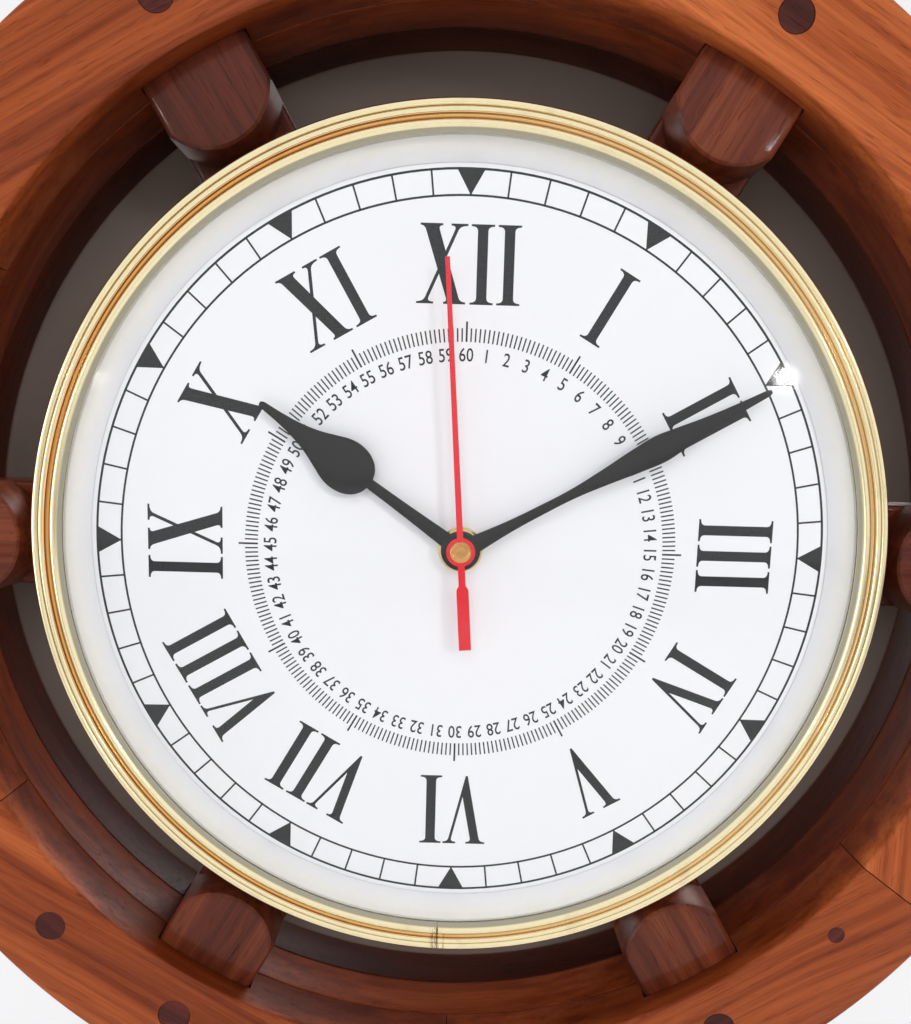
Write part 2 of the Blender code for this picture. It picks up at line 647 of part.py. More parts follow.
def make_hub():
    opening = MOVEMENT_SIZE / 2 + MOVEMENT_ROOM
    hub = plate([circle(HUB_RADIUS, 60), rectangle(-opening, opening, -opening, opening)],
                SPOKE_BACK, TONGUE_FRONT)
    tenon_middle = (SPOKE_BACK + TONGUE_FRONT) / 2
    inner = HUB_RADIUS + GAP - TENON_LENGTH - GAP
    radius = TENON_RADIUS + GAP
    for angle in spoke_angles():
        socket = [(0.0, inner), (radius, inner), (radius, HUB_RADIUS * 1.2), (0.0, HUB_RADIUS * 1.2)]
        socket = shifted(spoke_turning(socket, TENON_STEPS), depth=tenon_middle - RIM_DEPTH / 2)
        socket.transform(Matrix.Rotation(math.radians(angle), 4, "Y"))
        hub = cut(hub, socket)
    place("hub", hub, WOOD_DARK)


def make_dial_stack():
    bush_hole = circle(BUSH_RADIUS + GAP, 20)
    board = plate([circle(BOARD_RADIUS, RING_STEPS), bush_hole], BOARD_BACK, BOARD_FRONT)
    place("dial_board", board, BOARD_WOOD)
    dial = plate([circle(BOARD_RADIUS, RING_STEPS), bush_hole], DIAL_BACK, DIAL_FRONT)
    place("dial_plate", dial, DIAL_WHITE)
    reveal = turned([(BOARD_RADIUS, REVEAL_BACK), (BOARD_RADIUS, REVEAL_FRONT),
                     (REVEAL_FRONT_RADIUS, REVEAL_FRONT), (REVEAL_BACK_RADIUS, REVEAL_BACK)], RING_STEPS)
    place("reveal_ring", reveal, REVEAL_WHITE)


def dome_depth(radius, base):
    """Depth of the domed glass at a radius: a shallow sphere that rises from its edge."""
    sphere = (BOARD_RADIUS ** 2 + GLASS_RISE ** 2) / (2 * GLASS_RISE)
    return base + GLASS_RISE - (sphere - math.sqrt(sphere ** 2 - radius ** 2))


def make_glass():
    rings = 4
    inner = [(BOARD_RADIUS * step / rings, dome_depth(BOARD_RADIUS * step / rings, GLASS_BACK))
             for step in range(rings + 1)]
    outer = [(radius, depth + GLASS_THICKNESS) for radius, depth in reversed(inner)]
    place("glass", turned(inner + outer, RING_STEPS, closed=False), GLASS)


def bead_arc(centre_radius, centre_depth, radius, start, end, steps):
    """Points (radius, depth) on a rounded moulding; 0 degrees points forward, 90 outward."""
    points = []
    for step in range(steps + 1):
        turn = math.radians(start + (end - start) * step / steps)
        points.append((centre_radius + radius * math.sin(turn), centre_depth + radius * math.cos(turn)))
    return points


def make_bezel():
    """Drops are depths behind the lip, and insets run inward from the bezel's edge."""
    skirt_outer = SKIRT_INNER + SKIRT_WALL
    face = LIP_BACK
    profile = [(skirt_outer, BOARD_BACK), (skirt_outer, face - SKIRT_DROP)]
    profile += [(BEZEL_RADIUS - 2.2 * OUTER_BEAD, face - FLANGE_DROP)]
    profile += bead_arc(BEZEL_RADIUS - OUTER_BEAD, face - OUTER_BEAD_DROP, OUTER_BEAD, 110.0, -30.0, 3)
    profile += bead_arc(BEZEL_RADIUS - SECOND_BEAD_INSET, face - SECOND_BEAD_DROP, SECOND_BEAD,
                        55.0, -50.0, 2)
    profile += [(BEZEL_RADIUS - COVE_OUTER_INSET, face - COVE_OUTER_DROP)]
    profile += [(BEZEL_RADIUS - COVE_INNER_INSET, face - COVE_INNER_DROP)]
    profile += bead_arc(LIP_RADIUS + INNER_BEAD, face + INNER_BEAD_RISE, INNER_BEAD, 45.0, -90.0, 2)
    profile += [(LIP_RADIUS, face), (SKIRT_INNER, face), (SKIRT_INNER, BOARD_BACK)]
    place("bezel", turned(profile, RING_STEPS), BRASS)


def hand_stations(drawn, drawn_length, length):
    """Distances from the axis and half widths, drawn in mm for one length and fitted to another."""
    unit = length / drawn_length
    return [(distance * unit, half * unit) for distance, half in drawn]


def hand_outline(boss, stations, tip):
    """A hand pointing to 12 o'clock: half widths at distances from the axis, and a round boss."""
    side = [(half, distance) for distance, half in stations]
    root_half, root_distance = side[0]
    boss_turn = math.degrees(math.asin(root_half / boss))
    left = [(-half, distance) for half, distance in reversed(side)]
    around = arc(boss, -boss_turn, boss_turn - 360.0, 16)
    return side + [(side[-1][0] * 0.5, tip)] + [(-side[-1][0] * 0.5, tip)] + left + around


def make_hands():
    stations = hand_stations(HOUR_STEM + HOUR_PEAR + HOUR_POINT, HOUR_DRAWN_LENGTH, HOUR_LENGTH)
    outline = hand_outline(HOUR_BOSS, stations, HOUR_LENGTH)
    hour = plate([outline, circle(HOUR_TUBE_RADIUS + SMALL_FIT, 20)], HOUR_BACK, HOUR_FRONT)
    place("hour_hand", hour, BLACK_HAND, HOUR_ANGLE)

    stations = hand_stations(MINUTE_STEM + MINUTE_LEAF + MINUTE_POINT, MINUTE_DRAWN_LENGTH, MINUTE_LENGTH)
    outline = hand_outline(MINUTE_BOSS, stations, MINUTE_LENGTH)
    minute = plate([outline, circle(MINUTE_TUBE_RADIUS + SMALL_FIT, 20)], MINUTE_BACK, MINUTE_FRONT)
    place("minute_hand", minute, BLACK_HAND, MINUTE_ANGLE)

    neck = SECOND_NECK_HALF
    paddle = SECOND_PADDLE_HALF
    paddle_start = SECOND_TAIL - SECOND_PADDLE_LENGTH
    blade_turn = math.degrees(math.asin(SECOND_BLADE_HALF / SECOND_BOSS))
    neck_turn = math.degrees(math.asin(neck / SECOND_BOSS))
    right = [(SECOND_BLADE_HALF * 0.8, SECOND_LENGTH)]
    right += arc(SECOND_BOSS, blade_turn, 180.0 - neck_turn, 8)
    right += [(neck, -paddle_start + paddle / 2), (paddle, -paddle_start), (paddle, -SECOND_TAIL)]
    left = [(-x, z) for x, z in reversed(right)]
    outline = right + left
    second = plate([outline, circle(ARBOR_RADIUS + SMALL_FIT, 12)], SECOND_BACK, SECOND_FRONT)
    place("second_hand", second, RED_HAND, SECOND_ANGLE)


def make_hand_nut():
    bore = BUSH_RADIUS + SMALL_FIT
    flange = NUT_BACK + NUT_HEIGHT * 0.35
    nut = turned([(bore, NUT_BACK), (NUT_FLANGE_RADIUS, NUT_BACK), (NUT_FLANGE_RADIUS, flange),
                  (NUT_RADIUS, flange), (NUT_RADIUS, NUT_FRONT - SMALL_FIT),
                  (NUT_RADIUS - 2 * SMALL_FIT, NUT_FRONT), (bore, NUT_FRONT)], 24)
    place("hand_nut", nut, BRASS)


def gear(teeth, module, back, front, bore=0.0, centre=(0.0, 0.0), tooth_at=0.0):
    """A toothed wheel with one tooth pointing along tooth_at, clockwise from 12 o'clock."""
    pitch_radius = module * teeth / 2
    tip = pitch_radius + ADDENDUM * module
    root = pitch_radius - DEDENDUM * module
    half_pitch = 180.0 / teeth
    outline = []
    for tooth in range(teeth):
        turn = tooth_at + 2 * half_pitch * tooth
        outline += arc(tip, turn, turn, 1, centre)[:1]
        outline += arc(root, turn + half_pitch, turn + half_pitch, 1, centre)[:1]
    outlines = [outline]
    if bore:
        outlines.append(circle(bore, 16, centre))
    return plate(outlines, back, front)


def gap_at(line, teeth):
    """Where a tooth points on a wheel that has a gap facing along the line."""
    return line + 180.0 / teeth


def around_axis(angle, distance, start=(0.0, 0.0)):
    step = direction(angle) * distance
    return (start[0] + step.x, start[1] + step.z)


def make_movement_case():
    half = MOVEMENT_SIZE / 2
    block = plate([rounded_square(half, CASE_CORNER)], CASE_BACK, MOVEMENT_FRONT)
    gear_room = box(-ROOM_HALF, ROOM_HALF, CASE_BACK - CASE_WALL, CASE_FLOOR, PARTITION_TOP, ROOM_HALF)
    battery_room = box(-ROOM_HALF, ROOM_HALF, CASE_BACK - CASE_WALL, CASE_FLOOR,
                       BATTERY_ROOM_BOTTOM, BATTERY_ROOM_TOP)
    case = cut(block, gear_room, battery_room)
    case = joined(case, rod(BUSH_RADIUS, CASE_FLOOR + CASE_WALL / 2, BUSH_END, sides=20))
    for x, z in mid_plate_posts():
        post = rod(PLATE_POST_RADIUS, MID_PLATE_FRONT + GAP, CASE_FLOOR + CASE_WALL / 2, (x, z), sides=10)
        case = joined(case, post)
    case = cut(case, rod(BUSH_BORE, CASE_FLOOR - CASE_WALL, BUSH_END + CASE_WALL, sides=20))
    for centre, radius in ((third_centre, ARBOR_RADIUS), (minute_centre, MINUTE_ARBOR_RADIUS)):
        case = cut(case, rod(radius + SMALL_FIT, CASE_FLOOR - CASE_WALL, CASE_FLOOR + PIVOT_DEPTH + GAP,
                             centre, sides=12))
    place("movement_case", case, BLACK_PLASTIC)


def mid_plate_posts():
    side = ROOM_HALF - PLATE_POST_INSET
    low = PARTITION_TOP + PLATE_POST_RISE
    return [(-side, side), (side, side), (-side, low), (side, low)]


def make_movement_cover():
    half = MOVEMENT_SIZE / 2
    battery_window = rectangle(-ROOM_HALF, ROOM_HALF, BATTERY_ROOM_BOTTOM, BATTERY_ROOM_TOP)
    holes = [circle(MINUTE_ARBOR_RADIUS + SMALL_FIT, 12, minute_centre)]
    for centre in ((0.0, 0.0), intermediate_centre, rotor_centre):
        holes.append(circle(ARBOR_RADIUS + SMALL_FIT, 12, centre))
    cover = plate([rounded_square(half, CASE_CORNER), battery_window] + holes, MOVEMENT_BACK, COVER_FRONT)
    place("movement_cover", cover, BLACK_PLASTIC)


def make_mid_plate():
    edge = ROOM_HALF - GAP
    holes = [circle(ARBOR_RADIUS + SMALL_FIT, 12), circle(ARBOR_RADIUS + SMALL_FIT, 12, third_centre)]
    holes.append(circle(MINUTE_ARBOR_RADIUS + SMALL_FIT, 12, minute_centre))
    holes.append(circle(ARBOR_RADIUS + SMALL_FIT, 12, intermediate_centre))
    holes.append(circle(ARBOR_RADIUS + SMALL_FIT, 12, rotor_centre))
    mid_plate = plate([rectangle(-edge, edge, PARTITION_TOP + GAP, edge)] + holes,
                      MID_PLATE_BACK, MID_PLATE_FRONT)
    for x, z in stator_posts():
        post = rod(STATOR_POST_RADIUS, STATOR_FRONT + GAP, MID_PLATE_FRONT - GAP, (x, z), sides=10)
        mid_plate = joined(mid_plate, post)
    place("mid_plate", mid_plate, WHITE_PLASTIC)


def stator_bottom():
    return intermediate_centre[1] + ARBOR_RADIUS + GAP


def stator_posts():
    side = STATOR_HALF - STATOR_ARM / 2
    height = stator_bottom() + STATOR_ARM / 2
    return [(-side, height), (side, height)]


def make_motor():
    half = STATOR_HALF
    arm = STATOR_ARM
    low = stator_bottom()
    top = rotor_centre[1] + STATOR_REACH
    bridge_top = 2 * rotor_centre[1] - low
    outline = [(-half, low), (half, low), (half, top), (half - arm, top), (half - arm, bridge_top),
               (-half + arm, bridge_top), (-half + arm, top), (-half, top)]
    stator = plate([outline, circle(ROTOR_RADIUS + GAP, 20, rotor_centre)], STATOR_BACK, STATOR_FRONT)
    place("stator", stator, STEEL)

    coil_z = top - COIL_RADIUS - GAP
    core_back = STATOR_FRONT + GAP
    core_front = core_back + CORE_THICKNESS
    length = 2 * (half - arm) - 4 * GAP
    flange = length / 2
    wound = COIL_RADIUS * 0.85
    profile = [(0.0, -flange), (COIL_RADIUS, -flange), (COIL_RADIUS, -flange + COIL_FLANGE),
               (wound, -flange + COIL_FLANGE), (wound, flange - COIL_FLANGE),
               (COIL_RADIUS, flange - COIL_FLANGE), (COIL_RADIUS, flange), (0.0, flange)]
    spool = turned(profile, 16, closed=False)
    spool.transform(Matrix.Rotation(math.radians(90.0), 4, "Z"))
    spool = shifted(spool, z=coil_z, depth=(core_back + core_front) / 2)
    core = box(-half, half, core_back, core_front, coil_z - arm / 2, coil_z + arm / 2)
    place("coil", joined(spool, core), COPPER)

    rotor = rod(ROTOR_RADIUS, STATOR_BACK - SMALL_FIT, STATOR_FRONT + SMALL_FIT, rotor_centre, sides=20)
    arbor = rod(ARBOR_RADIUS, COVER_FRONT - PIVOT_DEPTH, MID_PLATE_BACK + PIVOT_DEPTH,
                rotor_centre, sides=12)
    pinion = gear(ROTOR_PINION_TEETH, STEP_MODULE, INTERMEDIATE_PLANE - PINION_OVERLAP,
                  INTERMEDIATE_PLANE + WHEEL_THICKNESS + PINION_OVERLAP, centre=rotor_centre,
                  tooth_at=gap_at(INTERMEDIATE_DIRECTION + 180.0, ROTOR_PINION_TEETH))
    place("rotor", joined(rotor, arbor, pinion), MAGNET)


def make_running_train():
    step_top = INTERMEDIATE_PLANE + WHEEL_THICKNESS
    seconds_top = SECONDS_WHEEL_PLANE + WHEEL_THICKNESS
    wheel = gear(INTERMEDIATE_WHEEL_TEETH, STEP_MODULE, INTERMEDIATE_PLANE, step_top,
                 centre=intermediate_centre, tooth_at=INTERMEDIATE_DIRECTION)
    pinion = gear(INTERMEDIATE_PINION_TEETH, STEP_MODULE, step_top - PINION_OVERLAP,
                  seconds_top + PINION_OVERLAP, centre=intermediate_centre,
                  tooth_at=gap_at(INTERMEDIATE_DIRECTION + 180.0, INTERMEDIATE_PINION_TEETH))
    arbor = rod(ARBOR_RADIUS, COVER_FRONT - PIVOT_DEPTH, MID_PLATE_BACK + PIVOT_DEPTH,
                intermediate_centre, sides=12)
    place("intermediate_wheel", joined(wheel, pinion, arbor), WHITE_PLASTIC)

    third_top = THIRD_WHEEL_PLANE + WHEEL_THICKNESS
    wheel = gear(SECONDS_WHEEL_TEETH, STEP_MODULE, SECONDS_WHEEL_PLANE, seconds_top,
                 tooth_at=INTERMEDIATE_DIRECTION)
    pinion = gear(SECONDS_PINION_TEETH, RUNNING_MODULE, THIRD_WHEEL_PLANE - PINION_OVERLAP,
                  third_top + PINION_OVERLAP, tooth_at=THIRD_DIRECTION)
    arbor = rod(ARBOR_RADIUS, COVER_FRONT - PIVOT_DEPTH, SECOND_FRONT, sides=12)
    place("seconds_arbor", joined(wheel, pinion, arbor), STEEL)

    centre_top = CENTRE_WHEEL_PLANE + WHEEL_THICKNESS
    wheel = gear(THIRD_WHEEL_TEETH, RUNNING_MODULE, THIRD_WHEEL_PLANE, third_top, centre=third_centre,
                 tooth_at=gap_at(THIRD_DIRECTION + 180.0, THIRD_WHEEL_TEETH))
    pinion = gear(THIRD_PINION_TEETH, CENTRE_MODULE, third_top - PINION_OVERLAP,
                  centre_top + PINION_OVERLAP, centre=third_centre, tooth_at=THIRD_DIRECTION + 180.0)
    arbor = rod(ARBOR_RADIUS, MID_PLATE_FRONT - PIVOT_DEPTH, CASE_FLOOR + PIVOT_DEPTH,
                third_centre, sides=12)
    place("third_wheel", joined(wheel, pinion, arbor), WHITE_PLASTIC)

    wheel = gear(CENTRE_WHEEL_TEETH, CENTRE_MODULE, CENTRE_WHEEL_PLANE, centre_top,
                 bore=MINUTE_TUBE_RADIUS + SMALL_FIT, tooth_at=gap_at(THIRD_DIRECTION, CENTRE_WHEEL_TEETH))
    place("centre_wheel", wheel, WHITE_PLASTIC)


def make_hand_setting_train():
    minute_top = MINUTE_WHEEL_PLANE + WHEEL_THICKNESS
    tube = plate([circle(MINUTE_TUBE_RADIUS, 16), circle(MINUTE_TUBE_BORE, 16)],
                 MINUTE_TUBE_END, MINUTE_FRONT)
    cannon = gear(CANNON_TEETH, MOTION_MODULE, MINUTE_WHEEL_PLANE - PINION_OVERLAP,
                  minute_top + PINION_OVERLAP, bore=MINUTE_TUBE_BORE, tooth_at=MINUTE_DIRECTION)
    place("minute_arbor", joined(tube, cannon), WHITE_PLASTIC)

    hour_top = HOUR_WHEEL_PLANE + WHEEL_THICKNESS
    wheel = gear(MINUTE_WHEEL_TEETH, MOTION_MODULE, MINUTE_WHEEL_PLANE, minute_top, centre=minute_centre,
                 tooth_at=gap_at(MINUTE_DIRECTION + 180.0, MINUTE_WHEEL_TEETH))
    pinion = gear(MINUTE_PINION_TEETH, HOUR_MODULE, minute_top - PINION_OVERLAP, hour_top,
                  centre=minute_centre, tooth_at=MINUTE_DIRECTION + 180.0)
    knob_socket = MOVEMENT_BACK - GAP - KNOB_THICKNESS / 2
    arbor = rod(MINUTE_ARBOR_RADIUS, knob_socket, CASE_FLOOR + PIVOT_DEPTH, minute_centre, sides=12)
    place("minute_wheel", joined(wheel, pinion, arbor), WHITE_PLASTIC)

    wheel = gear(HOUR_WHEEL_TEETH, HOUR_MODULE, HOUR_WHEEL_PLANE, hour_top, bore=HOUR_TUBE_BORE,
                 tooth_at=gap_at(MINUTE_DIRECTION, HOUR_WHEEL_TEETH))
    tube = plate([circle(HOUR_TUBE_RADIUS, 20), circle(HOUR_TUBE_BORE, 16)], HOUR_WHEEL_PLANE, HOUR_FRONT)
    place("hour_wheel", joined(wheel, tube), WHITE_PLASTIC)

    knob_front = MOVEMENT_BACK - GAP
    knob = rod(KNOB_RADIUS, knob_front - KNOB_THICKNESS, knob_front, minute_centre, sides=24)
    socket = rod(MINUTE_ARBOR_RADIUS + SMALL_FIT, knob_socket - GAP, knob_front + GAP,
                 minute_centre, sides=12)
    place("setting_knob", cut(knob, socket), BLACK_PLASTIC)


def make_electrics():
    half = BATTERY_LENGTH / 2
    profile = [(0.0, -half), (BATTERY_RADIUS, -half), (BATTERY_RADIUS, half), (BATTERY_NUB_RADIUS, half),
               (BATTERY_NUB_RADIUS, half + BATTERY_NUB_LENGTH), (0.0, half + BATTERY_NUB_LENGTH)]
    battery = turned(profile, 24, closed=False)
    battery.transform(Matrix.Rotation(math.radians(90.0), 4, "Z"))
    place("battery", shifted(battery, z=BATTERY_Z, depth=BATTERY_DEPTH), BATTERY_SLEEVE)

    back = BATTERY_DEPTH - CONTACT_DEPTH
    front = CASE_FLOOR - GAP
    low = BATTERY_Z - CONTACT_HALF
    high = BATTERY_Z + CONTACT_HALF
    outer = ROOM_HALF - GAP
    inner = outer - CONTACT_THICKNESS
    for name, side, reach in (("contact_plus", 1.0, half + BATTERY_NUB_LENGTH + GAP),
                              ("contact_minus", -1.0, half + GAP)):
        strip_ends = sorted((side * outer, side * inner))
        strip = box(strip_ends[0], strip_ends[1], back, front, low, high)
        dome_ends = sorted((side * reach, side * (outer - CONTACT_THICKNESS / 2)))
        size = BATTERY_NUB_RADIUS * 0.7
        dome = box(dome_ends[0], dome_ends[1], BATTERY_DEPTH - size, BATTERY_DEPTH + size,
                   BATTERY_Z - size, BATTERY_Z + size)
        place(name, joined(strip, dome), STEEL, smooth=0.0)

    board_front = MID_PLATE_BACK - GAP
    board_back = board_front - BOARD_SHEET
    board_right = ROOM_HALF - 2 * GAP
    board_bottom = PARTITION_TOP + 2 * GAP
    board = box(BOARD_LEFT, board_right, board_back, board_front, board_bottom, BOARD_TOP)
    chip_centre = ((BOARD_LEFT + board_right) / 2, (board_bottom + BOARD_TOP) / 2)
    chip = rod(CHIP_RADIUS, board_back - CHIP_HEIGHT, board_front - BOARD_SHEET / 2, chip_centre, sides=14)
    place("circuit_board", joined(board, chip), GREEN_BOARD)


def hanger_screw(spread=0.0):
    """A countersunk wood screw, or with a spread the hole that it sits in."""
    head = SCREW_HEAD_RADIUS + spread
    shank = SCREW_SHANK_RADIUS + spread
    back = -LAYER if spread else 0.0
    profile = [(0.0, back), (head, back)]
    if spread:
        profile.append((head, spread))
    profile += [(shank, SCREW_HEAD_DEPTH + spread), (shank, SCREW_LENGTH * 0.8), (0.0, SCREW_LENGTH)]
    return shifted(turned(profile, 16, closed=False), x=SCREW_X, z=RIM_MIDDLE)


def make_hanger():
    hanger = plate([hanger_plate_outline(), keyhole_outline()], 0.0, PLATE_THICKNESS)
    place("hanger_plate", cut(hanger, hanger_screw(SMALL_FIT)), BRASS)
    place("hanger_screw", hanger_screw(), STEEL)


clear_scene()
parts = make_collection("ship_wheel_clock")
clock_axis = bpy.data.objects.new("clock_axis", None)
clock_axis.location = (0.0, 0.0, AXIS_Z)
parts.objects.link(clock_axis)

third_centre = around_axis(THIRD_DIRECTION, THIRD_DISTANCE)
minute_centre = around_axis(MINUTE_DIRECTION, MINUTE_DISTANCE)
intermediate_centre = around_axis(INTERMEDIATE_DIRECTION, INTERMEDIATE_DISTANCE)
rotor_centre = around_axis(INTERMEDIATE_DIRECTION, ROTOR_DISTANCE, intermediate_centre)

make_front_felloes()
make_middle_felloes()
make_back_felloes()
make_spokes()
make_hub()
make_dial_stack()
make_glass()
make_bezel()
make_hands()
make_hand_nut()
make_movement_case()
make_movement_cover()
make_mid_plate()
make_motor()
make_running_train()
make_hand_setting_train()
make_electrics()
make_hanger()
bpy.context.view_layer.update()
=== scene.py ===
# %% [markdown]
# # A ship's wheel clock
# The object is a wooden ship's wheel with a quartz clock in its hub, hung on a wall.
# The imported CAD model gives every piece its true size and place, in metres. This script keeps the
# pieces whose shape is already right and gives them real finishes. It models again the ones whose
# edges, turnings and print carry the look. The dial faces -Y, 12 o'clock is +Z, the wall is y = 0.
# Depth means the distance in front of the wall, and angles run clockwise from 12 o'clock.

# %% Load the frame
import math

import bmesh
import bpy
from mathutils import Matrix, Vector


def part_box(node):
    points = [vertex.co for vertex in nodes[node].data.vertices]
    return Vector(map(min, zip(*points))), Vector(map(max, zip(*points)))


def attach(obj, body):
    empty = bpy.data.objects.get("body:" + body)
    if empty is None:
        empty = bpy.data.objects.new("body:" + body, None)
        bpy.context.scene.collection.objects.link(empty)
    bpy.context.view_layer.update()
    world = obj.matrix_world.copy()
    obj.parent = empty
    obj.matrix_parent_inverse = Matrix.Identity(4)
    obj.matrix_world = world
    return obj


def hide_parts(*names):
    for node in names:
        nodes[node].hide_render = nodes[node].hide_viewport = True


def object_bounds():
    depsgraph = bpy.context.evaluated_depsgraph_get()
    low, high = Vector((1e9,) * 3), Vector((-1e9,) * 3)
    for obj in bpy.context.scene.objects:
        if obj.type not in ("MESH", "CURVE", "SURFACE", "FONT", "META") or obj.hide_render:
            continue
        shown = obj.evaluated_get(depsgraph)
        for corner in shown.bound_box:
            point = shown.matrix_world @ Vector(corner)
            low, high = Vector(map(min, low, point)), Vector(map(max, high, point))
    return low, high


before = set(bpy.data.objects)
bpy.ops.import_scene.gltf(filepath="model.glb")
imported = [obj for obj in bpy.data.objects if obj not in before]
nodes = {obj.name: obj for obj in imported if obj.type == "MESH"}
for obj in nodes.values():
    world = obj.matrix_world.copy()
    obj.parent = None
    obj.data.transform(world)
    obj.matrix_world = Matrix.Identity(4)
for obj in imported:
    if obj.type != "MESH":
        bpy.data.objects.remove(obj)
cad_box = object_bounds()
MM = 0.001
print("CAD nodes:", len(nodes))

# %% [markdown]
# ## Where things are
# Everything on this clock is built round one axis, so the axis comes first. The dial plate is a
# disc, so the middle of its box is that axis. The depth of each layer is read from its own node,
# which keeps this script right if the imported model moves.

# %% The clock's axis and layers
dial_low, dial_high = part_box("dial_plate")
AXIS = Vector((0.0, 0.0, (dial_low.z + dial_high.z) / 2))
DIAL_RADIUS = (dial_high.z - dial_low.z) / 2


def layer(node):
    """Depth of a node's rear and front faces."""
    low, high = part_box(node)
    return -high.y, -low.y


DIAL_BACK, DIAL_FACE = layer("dial_plate")
SPOKE_BACK, SPOKE_FRONT = layer("spoke_1")
RIM_LAYERS = {ring: layer(ring + "_felloe_1") for ring in ("front", "middle", "back")}
RIM_BACK = RIM_LAYERS["back"][0]
RIM_FRONT = RIM_LAYERS["front"][1]
TONGUE_FRONT = layer("hub")[1]
print("axis z %.2f mm, dial face %.2f mm from the wall" % (AXIS.z / MM, DIAL_FACE / MM))

# %% Driving sizes of the wheel
SECTOR = 60.0
SPOKE_ANGLES = [30.0 + SECTOR * index for index in range(6)]
GAP = 0.3 * MM
RIM_INNER = 142.5 * MM
RIM_OUTER = max(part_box("front_felloe_1")[1].z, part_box("front_felloe_6")[1].z) - AXIS.z
RIM_MIDDLE = (RIM_INNER + RIM_OUTER) / 2
PEG_CIRCLE = RIM_MIDDLE - 2.0 * MM
BLOCK_END = RIM_OUTER + 5.5 * MM
HANDLE_LENGTH = 128.0 * MM
HUB_RADIUS = (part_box("hub")[1].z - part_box("hub")[0].z) / 2
SPOKE_HALF = (SPOKE_FRONT - SPOKE_BACK) / 2
BEZEL_RADIUS = (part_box("bezel")[1].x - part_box("bezel")[0].x) / 2
print("rim %.1f to %.1f mm" % (RIM_INNER / MM, RIM_OUTER / MM))

# %% [markdown]
# ## Shader maths as Python
# A material here is a net of nodes. Written node by node it is long and hard to read, so a small
# class wraps a socket and turns +, -, * and abs into Math nodes. Every other node comes from one
# method, which sets the node's own settings first and then its sockets.

# %% Socket arithmetic


class Wire:
    """A node's output that Python's signs can do sums with."""

    def __init__(self, net, socket):
        self.net = net
        self.socket = socket

    def __add__(self, other):
        return self.net.maths("ADD", self, other)

    def __sub__(self, other):
        return self.net.maths("SUBTRACT", self, other)

    def __mul__(self, other):
        return self.net.maths("MULTIPLY", self, other)

    def __abs__(self):
        return self.net.maths("ABSOLUTE", self)


print("wires ready")

# %% A net of nodes


class Net:
    """The nodes of a material or of the world."""

    def __init__(self, tree):
        self.tree = tree

    def feed(self, node, sockets):
        """Sets or links a node's inputs, by number or by name with _ for a space."""
        for key, value in sockets.items():
            socket = node.inputs[key.replace("_", " ") if isinstance(key, str) else key]
            if isinstance(value, Wire):
                self.tree.links.new(value.socket, socket)
            else:
                socket.default_value = value

    def node(self, kind, *inputs, output=0, **options):
        """A new node. Options in small letters are its own settings, and the others its inputs."""
        made = self.tree.nodes.new("ShaderNode" + kind)
        sockets = dict(enumerate(inputs))
        for name, value in options.items():
            if name[0].islower():
                setattr(made, name, value)
            else:
                sockets[name] = value
        self.feed(made, sockets)
        return Wire(self, made.outputs[output])

    def maths(self, operation, *values):
        return self.node("Math", *values, operation=operation)

    def vectors(self, operation, *values, output=0):
        return self.node("VectorMath", *values, output=output, operation=operation)

    def ray(self, kind):
        return self.node("LightPath", output="Is %s Ray" % kind)

    def ramp(self, value, stops):
        """A colour that runs through (position, colour) stops."""
        wire = self.node("ValToRGB", value)
        elements = wire.socket.node.color_ramp.elements
        while len(elements) < len(stops):
            elements.new(0.5)
        for element, (position, colour) in zip(elements, stops):
            element.position = position
            element.color = colour
        return wire

    def between(self, value, low, high):
        """A soft mask: 0 below low, 1 above high."""
        return self.node("MapRange", value, low, high, interpolation_type="SMOOTHSTEP")

    def blend(self, share, first, second, way="MIX"):
        wire = self.node("Mix", share, output=2, data_type="RGBA", blend_type=way)
        self.feed(wire.socket.node, {6: first, 7: second})
        return wire

    def shaded(self, share, colour, shade):
        return self.blend(share, colour, shade, "MULTIPLY")


print("nets ready")

# %% A material


class Finish(Net):
    """A material that reads the object's own coordinates and ends in a Principled shader."""

    def __init__(self, name, **constants):
        self.material = bpy.data.materials.new(name)
        self.material.use_nodes = True
        super().__init__(self.material.node_tree)
        self.shader = self.tree.nodes["Principled BSDF"]
        self.place = self.node("TexCoord", output="Object")
        self.wear(**constants)

    def wear(self, **sockets):
        """Sets the shader's inputs, or feeds them what changes over the surface."""
        self.feed(self.shader, sockets)
        return self.material

    def show(self, shader):
        """Puts another shader in the Principled one's place."""
        self.tree.nodes.remove(self.shader)
        self.tree.links.new(shader.socket, self.tree.nodes["Material Output"].inputs["Surface"])
        return self.material

    def attribute(self, name, output):
        return self.node("Attribute", output=output, attribute_name=name)

    def noise(self, scale, detail=2.0, vector=None, rough=0.5, output=0):
        """Noise of one scale, or of three scales along the coordinates."""
        vector = vector or self.place
        if isinstance(scale, tuple):
            vector = self.vectors("MULTIPLY", vector, scale)
            scale = 1.0
        return self.node("TexNoise", output=output, Vector=vector, Scale=scale, Detail=detail,
                         Roughness=rough)

    def bump(self, height, distance, strength):
        return self.node("Bump", Height=height, Distance=distance * MM, Strength=strength)

    def coordinate(self, way):
        return self.node("SeparateXYZ", self.place, output=way)

    def radius(self):
        """Distance from the clock's axis."""
        moved = self.vectors("SUBTRACT", self.place, AXIS)
        return self.vectors("LENGTH", self.vectors("MULTIPLY", moved, (1.0, 0.0, 1.0)), output=1)


def tint(red, green, blue):
    """A colour as an eye reads it from a screen, 0 to 255, turned into linear light."""
    linear = []
    for part in (red, green, blue):
        share = part / 255.0
        linear.append(share / 12.92 if share <= 0.04045 else ((share + 0.055) / 1.055) ** 2.4)
    return (*linear, 1.0)


print("shader helpers ready")

